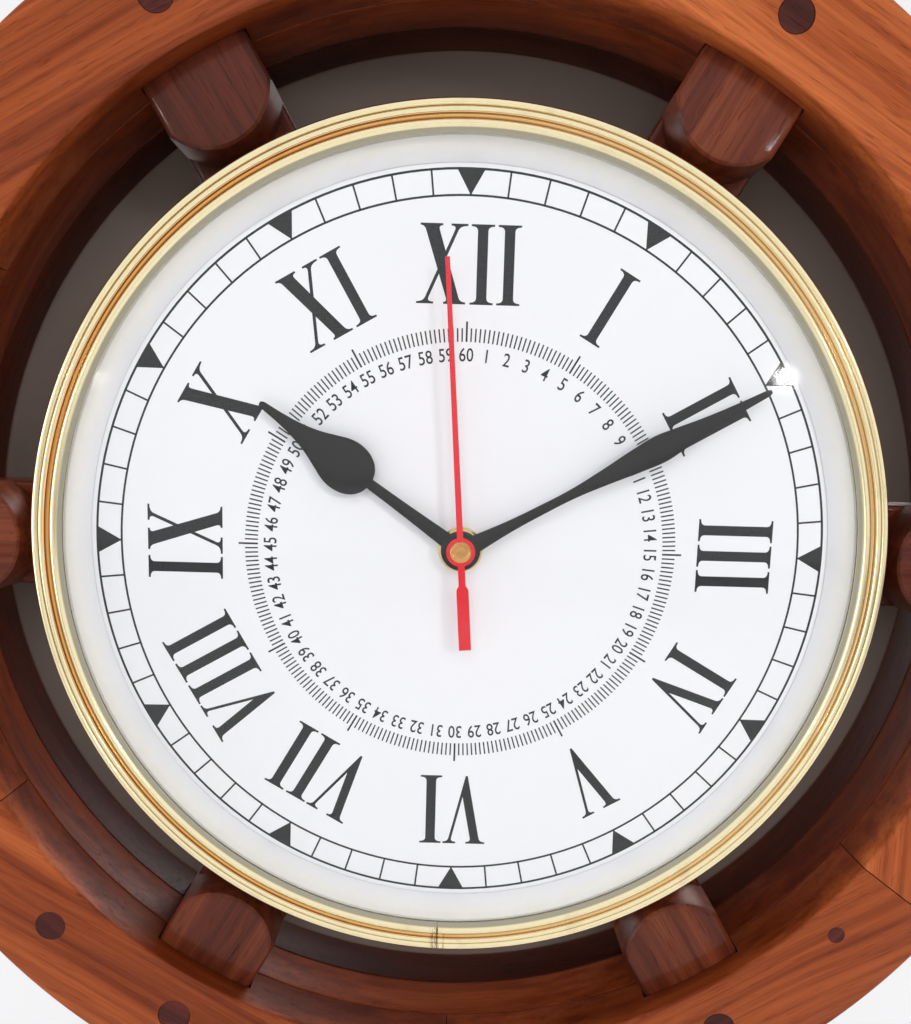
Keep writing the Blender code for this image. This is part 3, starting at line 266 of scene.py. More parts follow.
# %% [markdown]
# ## The wood
# The wheel is oiled Indian rosewood under a thin clear varnish. Its figure runs the length of each
# plank: broad dark streaks, fine fibres and short open pores. The rim is sawn from six straight
# planks in each layer, so the streaks run along each plank's chord and don't bend with the rim.
# Object coordinates can't do that, so each plank stores where its points lie in the plank, in an
# attribute called grain: metres along, across and into it. A second one, tone, sets how light the
# plank is. The rim's inner wall is painted darker as painted shade, and its foot darker still as
# painted shadow.

# %% Wood finish
STREAKS = (0.38, 0.54, 0.70)
# Where the painted shade on the rim's inner wall lies, and the darker painted shadow at its foot.
BORE_SHADE_RADII = (RIM_INNER + 0.9 * MM, RIM_INNER + 0.2 * MM)
BORE_SHADE_REACH = (-44.0 * MM, -37.0 * MM)
BORE_FOOT_SHADOW_REACH = (-16.5 * MM, -14.0 * MM)
BORE_PAINTED_SHADE = (0.50, 0.40, 0.35, 1.0)
BORE_FOOT_PAINTED_SHADOW = (0.30, 0.26, 0.26, 1.0)


def wood(name, dark, middle, light, gloss=0.30, coat=0.15, planks=True, bore=False):
    net = Finish(name, Coat_Roughness=0.10, Coat_IOR=1.5, Specular_IOR_Level=0.12)
    grain = net.attribute("grain", "Vector") if planks else net.place
    tone = net.attribute("tone", "Fac") if planks else net.noise(6.0)
    bend = net.noise((6.0, 14.0, 14.0), vector=grain, output=1)
    swayed = net.vectors("MULTIPLY_ADD", bend, (0.0, 0.016, 0.016), grain)
    figure = net.noise((2.6, 62.0, 62.0), 5.0, swayed, 0.6)
    lines = net.noise((5.0, 330.0, 330.0), 3.0, swayed)
    fibre = net.noise((34.0, 1500.0, 1500.0), 3.0, swayed)
    pores = net.between(net.noise((130.0, 2100.0, 2100.0), 1.0, grain), 0.635, 0.70)
    ripple = net.noise((40.0, 150.0, 150.0), 2.0, grain)
    streak = figure * 0.66 + lines * 0.22 + tone * 0.24 - 0.06
    base = net.ramp(streak, list(zip(STREAKS, (dark, middle, light))))
    base = net.shaded(net.between(lines, 0.50, 0.38) * 0.35, base, (0.60, 0.44, 0.36, 1.0))
    base = net.shaded(net.between(fibre, 0.40, 0.64) * 0.5, base, (0.72, 0.60, 0.52, 1.0))
    base = net.shaded(pores * 0.4, base, (0.36, 0.24, 0.18, 1.0))
    # With bore set, the rim's inner wall gets painted shade, and its foot a darker painted shadow.
    if bore:
        y = net.coordinate("Y")
        wall = net.between(net.radius(), *BORE_SHADE_RADII) * net.between(y, *BORE_SHADE_REACH)
        base = net.shaded(wall, base, BORE_PAINTED_SHADE)
        base = net.shaded(wall * net.between(y, *BORE_FOOT_SHADOW_REACH), base, BORE_FOOT_PAINTED_SHADOW)
    height = ripple * 0.35 - pores * 0.5 + fibre * 0.12
    return net.wear(Base_Color=base, Roughness=fibre * 0.14 + gloss, Coat_Weight=pores * -0.3 + coat,
                    Normal=net.bump(height, 0.12, 0.55))


# The rim's wood carries the painted shade of its inner wall.
RIM_WOOD = wood("rim_wood", tint(120, 52, 22), tint(160, 78, 36), tint(196, 106, 56), bore=True)
SPOKE_WOOD = wood("spoke_wood", tint(66, 27, 16), tint(92, 40, 24), tint(132, 66, 38), coat=0.28)
INNER_WOOD = wood("hub_wood", tint(70, 30, 20), tint(124, 58, 34), tint(160, 84, 50), planks=False,
                  coat=0.1, gloss=0.42)
PEG_WOOD = wood("peg_wood", tint(62, 25, 20), tint(94, 40, 35), tint(116, 54, 46))
print("wood finishes made")

# %% [markdown]
# ## Polished brass
# The bezel is spun from brass tube, so the polish leaves very fine rings round it. A noise that
# only reads the distance from the axis gives rings, and a second slow one gives the uneven shine
# and faint tarnish of a hand-polished ring. Its grooves keep some brown polish, and bands of painted
# reflection, brown-red and gold, lie over the cove, painted stronger on the left side. Its thin
# inner lip is dull and painted a grey-olive shade. The ends of the tube are soldered, which leaves
# one thin line near six o'clock.

# %% Brass finish
SEAM_X = 3.5 * MM
SEAM_LENGTH = 50.0 * MM
PAINTED_REFLECTION_REACH = (70.0 * MM, -70.0 * MM)
# Brown polish in the thin groove, and painted reflection bands, brown-red and gold, over the cove.
GROOVE_DIRT_AND_PAINTED_REFLECTIONS = ((2.15, 0.32, tint(150, 100, 62)), (4.5, 0.9, tint(226, 184, 124)),
           (5.2, 0.7, tint(160, 92, 58)))
LIP_PAINTED_SHADE_RADII = (BEZEL_RADIUS - 7.4 * MM, BEZEL_RADIUS - 7.9 * MM)


def ringed(net, base, rough, height):
    """Adds the turned rings, the seam, the grooves' polish with painted reflections, and the lip's painted
    shade.
    """
    height = height * 0.2 + net.noise(2600.0, vector=net.node("CombineXYZ", net.radius()))
    x = net.coordinate("X")
    offset = abs(x + SEAM_X)
    scratches = net.between(net.noise((2400.0, 300.0, 60.0)), 0.5, 0.6)
    seam = net.between(offset, 0.35 * MM, 0.1 * MM)
    seam = seam + net.between(offset, 2.6 * MM, 1.0 * MM) * scratches
    seam = seam * net.between(net.coordinate("Z"), AXIS.z, AXIS.z - SEAM_LENGTH) * 0.6
    base = net.blend(seam, base, tint(120, 80, 50))
    # Painted reflection: the bands are painted stronger on the left and paler on the right.
    reflection_contrast = net.between(x, *PAINTED_REFLECTION_REACH) * 0.35 + 0.6
    # The bands of polish and painted reflection, each at its inset from the bezel's edge.
    for inset, half, shade in GROOVE_DIRT_AND_PAINTED_REFLECTIONS:
        aside = abs(net.radius() - (BEZEL_RADIUS - inset * MM))
        base = net.shaded(net.between(aside, half * MM, half * 0.3 * MM) * reflection_contrast, base, shade)
    # Painted shade: the thin inner lip is painted a grey-olive.
    lip = net.between(net.radius(), *LIP_PAINTED_SHADE_RADII)
    base = net.blend(lip, base, tint(176, 170, 150))
    return base, rough + lip * 0.2 + seam * 0.4, height - seam * 3.0


def brass(name, colour, rings=True, dullness=0.13):
    net = Finish(name, Metallic=1.0)
    tarnish = net.between(net.noise(110.0, 4.0), 0.56, 0.74)
    base = net.blend(tarnish * (0.12 if rings else 0.4), colour, tint(150, 98, 52))
    rough = net.noise(45.0, 3.0) * 0.10 + dullness + tarnish * 0.12
    height = net.noise(900.0)
    if rings:
        base, rough, height = ringed(net, base, rough, height)
    return net.wear(Base_Color=base, Roughness=rough, Normal=net.bump(height, 0.02, 0.5))


BEZEL_BRASS = brass("polished_brass", tint(255, 241, 198), dullness=0.10)
PLAIN_BRASS = brass("plain_brass", tint(240, 214, 160), rings=False, dullness=0.2)
CAP_BRASS = brass("cap_brass", tint(228, 170, 104), rings=False)
print("brass finishes made")

# %% [markdown]
# ## Smooth surfaces
# Card, ink, paint, moulded plastic and brushed metal are all nearly even, so one function makes
# them. A fine noise sets their shine and relief, and a slow one moves their colour a little. Where
# the fine noise is stretched one way, it reads as brushing. The dial is a card with a smooth white
# print and black ink. The hands are stamped sheet, painted black, and the seconds hand is red.

# %% One function and what it makes
PAINT = {"Coat_Weight": 0.3, "Coat_Roughness": 0.08, "Specular_IOR_Level": 0.25}
BRUSHED = (60.0, 60.0, 2400.0)
WOUND = (5200.0, 300.0, 300.0)


def even(name, first, second, fine, rough, bump=None, slow=None, **constants):
    net = Finish(name, **constants)
    fine = net.noise(*fine)
    slow = net.noise(*slow) if slow else fine
    if bump:
        net.wear(Normal=net.bump(fine, *bump))
    return net.wear(Base_Color=net.blend(slow, first, second), Roughness=fine * rough[1] + rough[0])


def plastic(name, first, second, texture=700.0, gloss=0.42):
    return even(name, first, second, (texture, 3.0), (gloss, 0.14), (0.04, 0.5), (60.0,))


def paint(name, first, second, gloss):
    return even(name, first, second, (420.0,), (gloss, 0.1), (0.02, 0.5), (30.0,), **PAINT)


def metal(name, first, second, scale=BRUSHED):
    return even(name, first, second, (scale, 3.0), (0.22, 0.16), (0.01, 0.4), Metallic=1.0)


DIAL_WHITE = even("dial_white", tint(242, 243, 248), tint(247, 248, 252), (900.0, 3.0), (0.38, 0.08),
                  (0.01, 0.3), (12.0,), Specular_IOR_Level=0.35)
INK = even("printing_ink", tint(28, 30, 33), tint(44, 47, 50), (1400.0, 3.0), (0.34, 0.1),
           Specular_IOR_Level=0.3)
BLACK_PAINT = paint("black_paint", tint(16, 16, 18), tint(26, 25, 26), 0.16)
RED_PAINT = paint("red_paint", tint(222, 22, 40), tint(232, 34, 50), 0.24)
CASE_PLASTIC = plastic("case_plastic", tint(30, 30, 32), tint(40, 40, 43))
GEAR_PLASTIC = plastic("gear_plastic", tint(220, 218, 208), tint(232, 230, 222), 1200.0, 0.36)
GREEN_BOARD = plastic("circuit_green", tint(22, 92, 50), tint(34, 110, 60), 900.0, 0.3)
BRIGHT_STEEL = metal("bright_steel", tint(178, 180, 184), tint(206, 208, 210))
MAGNET = metal("magnet_grey", tint(92, 92, 96), tint(112, 112, 116))
COPPER = metal("copper_wire", tint(176, 96, 52), tint(210, 128, 76), WOUND)
print("even finishes made")

# %% [markdown]
# ## Reveal, board, glass and battery sleeve
# The reveal ring is white at its foot and a little creamier above. The board behind the dial is
# brown fibreboard. The glass mixes a clear and a mirror-like shader by Fresnel, which keeps shadows
# soft and needs no refraction. The battery has a plain sleeve of two colours and a bare steel end.

# %% Finishes with a way of their own
REVEAL_BLEND = (102.2 * MM, 105.0 * MM)
SLEEVE_BAND = (14.0 * MM, 14.2 * MM)
SLEEVE_END = (22.5 * MM, 22.9 * MM)


def reveal_paint():
    net = Finish("reveal_paint", Specular_IOR_Level=0.3)
    mottle = net.noise(300.0, 4.0)
    cream = net.blend(mottle, tint(246, 243, 235), tint(252, 250, 245))
    base = net.blend(net.between(net.radius(), *REVEAL_BLEND), tint(246, 246, 249), cream)
    return net.wear(Base_Color=base, Roughness=mottle * 0.12 + 0.42, Normal=net.bump(mottle, 0.03, 0.4))


def fibreboard():
    net = Finish("fibreboard")
    fibres = net.noise((700.0, 500.0, 1100.0), 4.0, rough=0.7)
    clumps = net.noise(160.0, 3.0)
    base = net.blend(fibres * 0.6 + clumps * 0.4, tint(120, 88, 58), tint(176, 138, 98))
    return net.wear(Base_Color=base, Roughness=fibres * 0.2 + 0.72,
                    Normal=net.bump(fibres + clumps, 0.1, 0.6))


def clear_glass():
    net = Finish("clear_glass")
    clear = net.node("BsdfTransparent", Color=(1.0, 1.0, 1.0, 1.0))
    mirror = net.node("BsdfAnisotropic", Roughness=0.06, Color=(1.0, 1.0, 1.0, 1.0))
    smear = net.between(net.noise(16.0, 3.0), 0.5, 0.75)
    share = net.node("Fresnel", IOR=1.45) * (smear * 0.1 + 0.42)
    return net.show(net.node("MixShader", share, clear, mirror))


def battery_sleeve():
    net = Finish("battery_sleeve", Coat_Weight=0.3)
    x = net.coordinate("X")
    grain = net.noise(800.0, 3.0)
    bare = net.between(x, *SLEEVE_END)
    colour = net.blend(net.between(x, *SLEEVE_BAND), tint(48, 54, 62), tint(182, 128, 60))
    steel = net.blend(grain, tint(176, 176, 178), tint(200, 200, 202))
    return net.wear(Base_Color=net.blend(bare, colour, steel), Metallic=bare,
                    Roughness=grain * 0.12 + 0.28)


REVEAL = reveal_paint()
BOARD = fibreboard()
CLEAR_GLASS = clear_glass()
SLEEVE = battery_sleeve()
print("reveal, board, glass and sleeve finishes made")

# %% [markdown]
# ## Finishes for the CAD pieces that stay
# The hub, the movement's case and all its gears already have their real shape, so they stay and
# only take a new finish. A dictionary from finish to node names keeps that in one place.

# %% Dress the CAD nodes
STAYING = {
    INNER_WOOD: ["hub"],
    CASE_PLASTIC: ["movement_case", "movement_cover"],
    GEAR_PLASTIC: ["mid_plate", "intermediate_wheel", "third_wheel", "centre_wheel", "minute_arbor",
                   "minute_wheel", "hour_wheel"],
    BRIGHT_STEEL: ["stator", "seconds_arbor", "contact_plus", "contact_minus"],
    COPPER: ["coil"],
    MAGNET: ["rotor"],
    GREEN_BOARD: ["circuit_board"],
}
for finish, names in STAYING.items():
    for name in names:
        nodes[name].data.materials.clear()
        nodes[name].data.materials.append(finish)
print("CAD nodes dressed:", sum(len(names) for names in STAYING.values()))

# %% [markdown]
# ## Tools for making pieces
# Each piece is shaped round the world's own Y axis, as if 12 o'clock were its only place, and then
# turned to its angle and moved to the clock's axis in its mesh. A profile of radius and depth spun
# about that axis makes rings and domes. A flat curve with thickness makes hands and print. Where
# two shapes are cut or joined, an exact Boolean modifier is applied.

# %% Places and points


def at(x=0.0, depth=0.0, z=0.0):
    """The matrix of a place beside, in front of and above the axis."""
    return Matrix.Translation((x, -depth, z))


def turned(angle, axis="Y"):
    return Matrix.Rotation(math.radians(angle), 4, axis)


def sized(width, thick, length):
    return Matrix.Diagonal((width, thick, length, 1.0))


def block(width, thick, length, depth, radius, angle=0.0):
    """Where a unit cube goes to become a bar: its width, thickness and length along the radius."""
    return turned(angle) @ at(0.0, depth, radius) @ sized(width, thick, length)


def measured(pairs, radius=0.0, depth=0.0):
    """Pairs in millimetres, counted from a radius and a depth, as points in metres."""
    return [(radius + x * MM, depth + z * MM) for x, z in pairs]


def arc(radius, start, end, steps, centre=(0.0, 0.0)):
    """Points on an arc, with angles clockwise from the second coordinate's direction."""
    points = []
    for step in range(steps + 1):
        turn = math.radians(start + (end - start) * step / steps)
        points.append((centre[0] + radius * math.sin(turn), centre[1] + radius * math.cos(turn)))
    return points


def degrees(opposite, hypotenuse):
    """The angle whose sine is the ratio of two lengths."""
    return math.degrees(math.asin(opposite / hypotenuse))


print("places ready")

# %% Meshes and spun profiles


def clean(work):
    """Welds what touches and points every face outwards."""
    bmesh.ops.remove_doubles(work, verts=work.verts, dist=0.0005 * MM)
    bmesh.ops.recalc_face_normals(work, faces=work.faces)


def to_mesh(work, name="shape"):
    mesh = bpy.data.meshes.new(name)
    work.to_mesh(mesh)
    work.free()
    return mesh


def welded(mesh):
    work = bmesh.new()
    work.from_mesh(mesh)
    clean(work)
    work.to_mesh(mesh)
    work.free()
    return mesh


def boxed(matrix):
    work = bmesh.new()
    bmesh.ops.create_cube(work, size=1.0, matrix=matrix)
    return to_mesh(work)


def spin(work, steps, angle=math.tau):
    """Spins all that is there about the clock's axis. A full turn closes on itself."""
    bmesh.ops.spin(work, geom=work.verts[:] + work.edges[:] + work.faces[:], cent=(0.0, 0.0, 0.0),
                   axis=(0.0, 1.0, 0.0), angle=angle, steps=steps, use_merge=angle == math.tau)
    clean(work)


def spun(profile, steps, closed=True):
    """A ring or a solid of revolution about the clock's axis from (radius, depth) points."""
    work = bmesh.new()
    points = [work.verts.new((0.0, -depth, radius)) for radius, depth in profile]
    last = points[:1] if closed else []
    for first, second in zip(points, points[1:] + last):
        work.edges.new((first, second))
    spin(work, steps)
    return to_mesh(work)


print("spin ready")

# %% Flat outlines


def placed(name, data):
    """A new object in the scene."""
    made = bpy.data.objects.new(name, data)
    bpy.context.scene.collection.objects.link(made)
    return made


def as_mesh(holder):
    """The evaluated mesh of a scratch object, which is removed."""
    graph = bpy.context.evaluated_depsgraph_get()
    mesh = bpy.data.meshes.new_from_object(holder.evaluated_get(graph))
    bpy.data.objects.remove(holder)
    return mesh


def flat_piece(outlines, back, front, rounding=0.0, smooth=False):
    """A flat curve made solid. The first outline is the edge, and the rest are holes."""
    curve = bpy.data.curves.new("outline", "CURVE")
    curve.dimensions = "2D"
    curve.fill_mode = "BOTH"
    curve.resolution_u = 5
    curve.extrude = (front - back) / 2 - rounding
    curve.bevel_depth = rounding
    curve.bevel_resolution = 2
    curve.offset = -rounding
    for outline in outlines:
        spline = curve.splines.new("BEZIER" if smooth else "POLY")
        points = spline.bezier_points if smooth else spline.points
        points.add(len(outline) - 1)
        for point, place in zip(points, outline):
            point.co = (*place[:2], 0.0) if smooth else (*place, 0.0, 1.0)
            if smooth:
                corner = len(place) > 2
                point.handle_left_type = "VECTOR" if corner else "AUTO"
                point.handle_right_type = "VECTOR" if corner else "AUTO"
        spline.use_cyclic_u = True
    mesh = as_mesh(placed("outline", curve))
    mesh.transform(at(depth=(back + front) / 2) @ turned(90.0, "X"))
    return welded(mesh)


print("flat curves ready")

# %% Cut, join and gather


def combined(mesh, tool, operation="DIFFERENCE"):
    """One mesh cut by, joined with or limited to another."""
    tool_holder = placed("tool", tool)
    holder = placed("body", mesh)
    boolean = holder.modifiers.new("boolean", "BOOLEAN")
    boolean.operation = operation
    boolean.solver = "EXACT"
    boolean.object = tool_holder
    result = as_mesh(holder)
    bpy.data.objects.remove(tool_holder)
    return welded(result)


def gathered(pieces):
    """Several (mesh, matrix) pairs as one mesh."""
    work = bmesh.new()
    for mesh, matrix in pieces:
        copy = mesh.copy()
        copy.transform(matrix)
        work.from_mesh(copy)
        bpy.data.meshes.remove(copy)
    return to_mesh(work)


print("Booleans ready")

# %% Finish a piece


def piece(name, mesh, material, body="clock", node=None, angle=0.0, smooth=35.0):
    """Puts a mesh in its place on the clock, gives it its finish and lets it ride on its body."""
    mesh.transform(Matrix.Translation(AXIS) @ turned(angle))
    if smooth:
        mesh.shade_smooth()
        mesh.set_sharp_from_angle(angle=math.radians(smooth))
    mesh.materials.clear()
    mesh.materials.append(material)
    made = placed(name, mesh)
    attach(made, body)
    if node:
        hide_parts(node)
    return made


def add_grain(mesh, plank, tone, upright=False):
    """Stores where each point lies in its plank, and how light the plank is."""
    shift = Vector((0.37 * plank, 0.113 * plank, 0.061 * plank))
    mesh.attributes.new("grain", "FLOAT_VECTOR", "POINT")
    mesh.attributes.new("tone", "FLOAT", "POINT")
    grain, light = mesh.attributes["grain"], mesh.attributes["tone"]
    for index, vertex in enumerate(mesh.vertices):
        x, y, z = vertex.co
        grain.data[index].vector = Vector((z, x, y) if upright else (x, z, y)) + shift
        light.data[index].value = tone


print("ready to make pieces")

# %% [markdown]
# ## The rim's felloes
# A felloe is one curved plank of the rim. Three layers of six are glued with their joints
# staggered. The cross-section is one rectangle, spun through the plank's angle. Its long edges are
# rounded, because a sanded edge catches the light: more on the rim's two faces, less where layers
# meet. The front layer is cut behind for the spokes and drilled for the pegs that lock them.

# %% One felloe
FELLOE_STEPS = 40
FACE_ROUNDING = 1.1 * MM
JOINT_ROUNDING = 0.3 * MM


def long_edges(work, depth):
    """The edges that run round the rim at this depth."""
    found = []
    for edge in work.edges:
        low, high = (vertex.co for vertex in edge.verts)
        same_radius = abs(low.xz.length - high.xz.length) < GAP
        if same_radius and abs(low.y + depth) < GAP and abs(high.y + depth) < GAP:
            found.append(edge)
    return found


def felloe_arc(start, end, back, front):
    half_gap = math.degrees(GAP / 2 / RIM_MIDDLE)
    first = turned(start + half_gap)
    corners = [(RIM_INNER, back), (RIM_OUTER, back), (RIM_OUTER, front), (RIM_INNER, front)]
    work = bmesh.new()
    work.faces.new([work.verts.new(first @ Vector((0.0, -depth, radius))) for radius, depth in corners])
    spin(work, FELLOE_STEPS, math.radians(end - start - 2 * half_gap))
    for depth in (back, front):
        shown = min(abs(depth - RIM_BACK), abs(depth - RIM_FRONT)) < GAP
        rounding = FACE_ROUNDING if shown else JOINT_ROUNDING
        bmesh.ops.bevel(work, geom=long_edges(work, depth), offset=rounding, segments=3, profile=0.5,
                        affect="EDGES", material=-1)
    clean(work)
    return to_mesh(work)


def felloe(ring, number, angle, span, rooms, plank, tone):
    """A plank of the front, middle or back ring, with the rooms that are cut out of it."""
    mesh = felloe_arc(*span, *RIM_LAYERS[ring])
    for room in rooms:
        mesh = combined(mesh, room)
    add_grain(mesh, plank, tone)
    piece("rim_%s_%d" % (ring, number), mesh, RIM_WOOD,
          node="%s_felloe_%d" % (ring, number), angle=angle)


def spoke_room(angle):
    """The slot that the spoke's square block takes in the rim."""
    depth = (SPOKE_BACK + SPOKE_FRONT) / 2
    width = 2 * (SPOKE_HALF + GAP)
    return boxed(block(width, width, 2 * (RIM_OUTER - RIM_INNER), depth, RIM_MIDDLE, angle))


def peg_room():
    hole = arc(4.6 * MM, 0.0, 345.0, 23, (0.0, PEG_CIRCLE))
    return flat_piece([hole], RIM_FRONT - 30 * MM, RIM_FRONT + 10 * MM)


print("felloe tools ready")

# %% The front layer
# Plank tones, partly real and partly painted light: lightest at the upper right, darkest at the lower
# left.
FRONT_TONES_AND_PAINTED_LIGHT = (0.88, 0.72, 0.55, 0.42, 0.50, 0.58)
JOINT_SHIFT = 6.5
HALF_SECTOR = SECTOR / 2
for number, (angle, tone) in enumerate(zip(SPOKE_ANGLES, FRONT_TONES_AND_PAINTED_LIGHT), start=1):
    start = -HALF_SECTOR + (JOINT_SHIFT if number == 3 else 0.0)
    end = HALF_SECTOR + (JOINT_SHIFT if number == 2 else 0.0)
    felloe("front", number, angle, (start, end), [spoke_room(0.0), peg_room()], number, tone)
print("front felloes made")

# %% Where the hanger plate is let in
PLATE_WIDTH = 44.0 * MM
PLATE_HEIGHT = 22.0 * MM
PLATE_CORNER = 3.0 * MM
PLATE_THICKNESS = 1.5 * MM
KEYHOLE_RADIUS = 5.5 * MM
KEYHOLE_SLOT = 5.4 * MM
KEYHOLE_TOP = RIM_MIDDLE + PLATE_HEIGHT / 2 - 4.7 * MM
KEYHOLE_MOUTH = KEYHOLE_TOP - 9.5 * MM
KEYHOLE_ROOM_DEPTH = 9.0 * MM
BEHIND = -5.0 * MM


def plate_outline(spread=0.0):
    points = []
    for index, (x, z) in enumerate([(1, 1), (1, -1), (-1, -1), (-1, 1)]):
        side = x * (PLATE_WIDTH / 2 - PLATE_CORNER)
        level = RIM_MIDDLE + z * (PLATE_HEIGHT / 2 - PLATE_CORNER)
        points += arc(PLATE_CORNER + spread, index * 90.0, index * 90.0 + 90.0, 6, (side, level))
    return points


def hanger_rooms():
    radius = KEYHOLE_RADIUS + GAP
    hollow = arc(radius, -90.0, 90.0, 12, (0.0, KEYHOLE_TOP - KEYHOLE_SLOT / 2))
    hollow += arc(radius, 90.0, 270.0, 12, (0.0, KEYHOLE_MOUTH))
    return [flat_piece([plate_outline(GAP)], BEHIND, PLATE_THICKNESS + GAP),
            flat_piece([hollow], BEHIND, KEYHOLE_ROOM_DEPTH)]


print("hanger seat %.1f by %.1f mm" % (PLATE_WIDTH / MM, PLATE_HEIGHT / MM))

# %% The middle and back layers
clear_turn = degrees(SPOKE_HALF + GAP, RIM_MIDDLE)
between_spokes = (-HALF_SECTOR + clear_turn, HALF_SECTOR - clear_turn)
for index in range(6):
    number = index + 1
    felloe("middle", number, SECTOR * number, between_spokes, [], 10 + number, 0.3 + 0.08 * (index % 3))
    rooms = [spoke_room(-HALF_SECTOR), spoke_room(HALF_SECTOR)]
    if index == 0:
        rooms += hanger_rooms()
    felloe("back", number, SECTOR * index, (-HALF_SECTOR, HALF_SECTOR), rooms, 20 + number,
           0.35 + 0.1 * (index % 3))
print("middle and back felloes made")

# %% [markdown]
# ## Pegs and plugs
# A dowel through the front layer locks each spoke, and its end shows as a dark round plug on the
# rim's face. It is a short turned bar whose front edge is only just rounded, sanded flush. Two more
# marks belong to this wheel's own wood: a plug over a repair and a dark knot. They are thin discs,
# let into the face.

# %% Pegs, a plug and a knot
PEG_RADIUS = 4.5 * MM
PEG_SOFT = 0.35 * MM
PEG_SUNK = 0.05 * MM
MARK_BACK = RIM_FRONT - 3.0 * MM
MARK_FRONT = RIM_FRONT + 0.04 * MM


def inlay(name, radius, back, front, circle, angle, plank, tone, node=None):
    """A round bar of dark wood in the rim's face."""
    profile = [(0.0, back), (radius, back), (radius, front - PEG_SOFT)]
    profile += arc(PEG_SOFT, 80.0, 0.0, 4, (radius - PEG_SOFT, front - PEG_SOFT))
    profile.append((0.0, front))
    mesh = spun(profile, 40, closed=False)
    mesh.transform(at(z=circle))
    add_grain(mesh, plank, tone)
    piece(name, mesh, PEG_WOOD, node=node, angle=angle)


peg_back, peg_front = layer("peg_1")
for number, angle in enumerate(SPOKE_ANGLES, start=1):
    inlay("locking_peg_%d" % number, PEG_RADIUS, peg_back, peg_front - PEG_SUNK, PEG_CIRCLE, angle,
          30 + number, 0.2 + 0.1 * (number % 3), "peg_%d" % number)
inlay("repair_plug", 4.4 * MM, MARK_BACK, MARK_FRONT, PEG_CIRCLE, 226.0, 52, 0.3)
inlay("knot", 2.6 * MM, MARK_BACK, MARK_FRONT, 151.0 * MM, 134.0, 45, 0.3)
print("pegs made")

# %% [markdown]
# ## The spokes
# Each spoke is one length of square stock. Its middle stays square where the rim grips it, its
# outer end is turned on a lathe to a handle, and its inner end is cut back to half its depth, so
# that the clock can sit on it. The square part is a flat outline with rounded edges and a crowned
# end, the tongue another, and the handle a spun profile. They are joined and limited by the cone
# that the lathe leaves where square turns to round. One mesh is made and turned to six places.

# %% The square block and its tongue
SHOULDER_RADIUS = 119.5 * MM
SHOULDER_CROWN = 9.5 * MM
BLOCK_ROUNDING = 1.8 * MM
TONGUE_INSET = 0.1 * MM
TONGUE_ROUNDING = 1.2 * MM
hub_edge = HUB_RADIUS + GAP
spoke_middle = (SPOKE_BACK + SPOKE_FRONT) / 2
bow = (SPOKE_HALF ** 2 + SHOULDER_CROWN ** 2) / (2 * SHOULDER_CROWN)
bow_turn = degrees(SPOKE_HALF - 2 * MM, bow)
shoulder = arc(bow, 180.0 - bow_turn, 180.0 + bow_turn, 24, (0.0, SHOULDER_RADIUS + bow))
corner_level = shoulder[0][1] + 3 * MM
block_end = BLOCK_END - 0.2 * MM
block_outline = [(-SPOKE_HALF, block_end), (SPOKE_HALF, block_end), (SPOKE_HALF, corner_level)]
block_outline += shoulder + [(-SPOKE_HALF, corner_level)]
block_mesh = flat_piece([block_outline], SPOKE_BACK, SPOKE_FRONT, BLOCK_ROUNDING)
tongue_half = SPOKE_HALF - TONGUE_INSET
tongue_turn = degrees(tongue_half, hub_edge)
tongue_outline = [(-tongue_half, RIM_INNER), (tongue_half, RIM_INNER)]
tongue_outline += arc(hub_edge, tongue_turn, -tongue_turn, 24)
tongue = flat_piece([tongue_outline], SPOKE_BACK + TONGUE_INSET, TONGUE_FRONT, TONGUE_ROUNDING)
print("block %d faces, tongue %d faces" % (len(block_mesh.polygons), len(tongue.polygons)))

# %% The turned handle
HANDLE_NECK = 8.0 * MM
HANDLE_COLLAR = 13.0 * MM
HANDLE_GRIP = 14.5 * MM
HANDLE_WAIST = 9.0 * MM
HANDLE_KNOB = 12.5 * MM
HANDLE_STEPS = 64
TURNING_SHARES = (0.10, 0.19, 0.46, 0.79, 1.0)
COLLAR_HALF_SHARE = 0.055


def swell(first, second, start, end, steps):
    """A smooth change from one radius to another."""
    points = []
    for step in range(steps + 1):
        share = step / steps
        ease = (1 - math.cos(math.pi * share)) / 2
        points.append((first + (second - first) * ease, start + (end - start) * share))
    return points


def along_spoke(profile, steps):
    """A shape turned about the spoke's own centre line."""
    mesh = spun(profile, steps, closed=False)
    mesh.transform(at(depth=spoke_middle) @ turned(-90.0, "X"))
    return welded(mesh)


def handle_profile():
    collar, neck, grip, waist, tip = (BLOCK_END + HANDLE_LENGTH * share for share in TURNING_SHARES)
    half_collar = HANDLE_LENGTH * COLLAR_HALF_SHARE
    profile = [(0.0, RIM_OUTER), (HANDLE_NECK, RIM_OUTER), (HANDLE_NECK, collar - half_collar)]
    for x, z in arc(1.0, -90.0, 90.0, 14):
        profile.append((HANDLE_NECK + (HANDLE_COLLAR - HANDLE_NECK) * z, collar + half_collar * x))
    profile += swell(HANDLE_NECK, HANDLE_GRIP, neck, grip, 16)
    profile += swell(HANDLE_GRIP, HANDLE_WAIST, grip, waist, 18)[1:]
    for x, z in arc(HANDLE_KNOB, degrees(HANDLE_WAIST * 0.8, HANDLE_KNOB), 178.0, 18):
        profile.append((x, tip - HANDLE_KNOB - z))
    return profile + [(0.0, tip)]


handle = along_spoke(handle_profile(), HANDLE_STEPS)
print("handle %d faces" % len(handle.polygons))

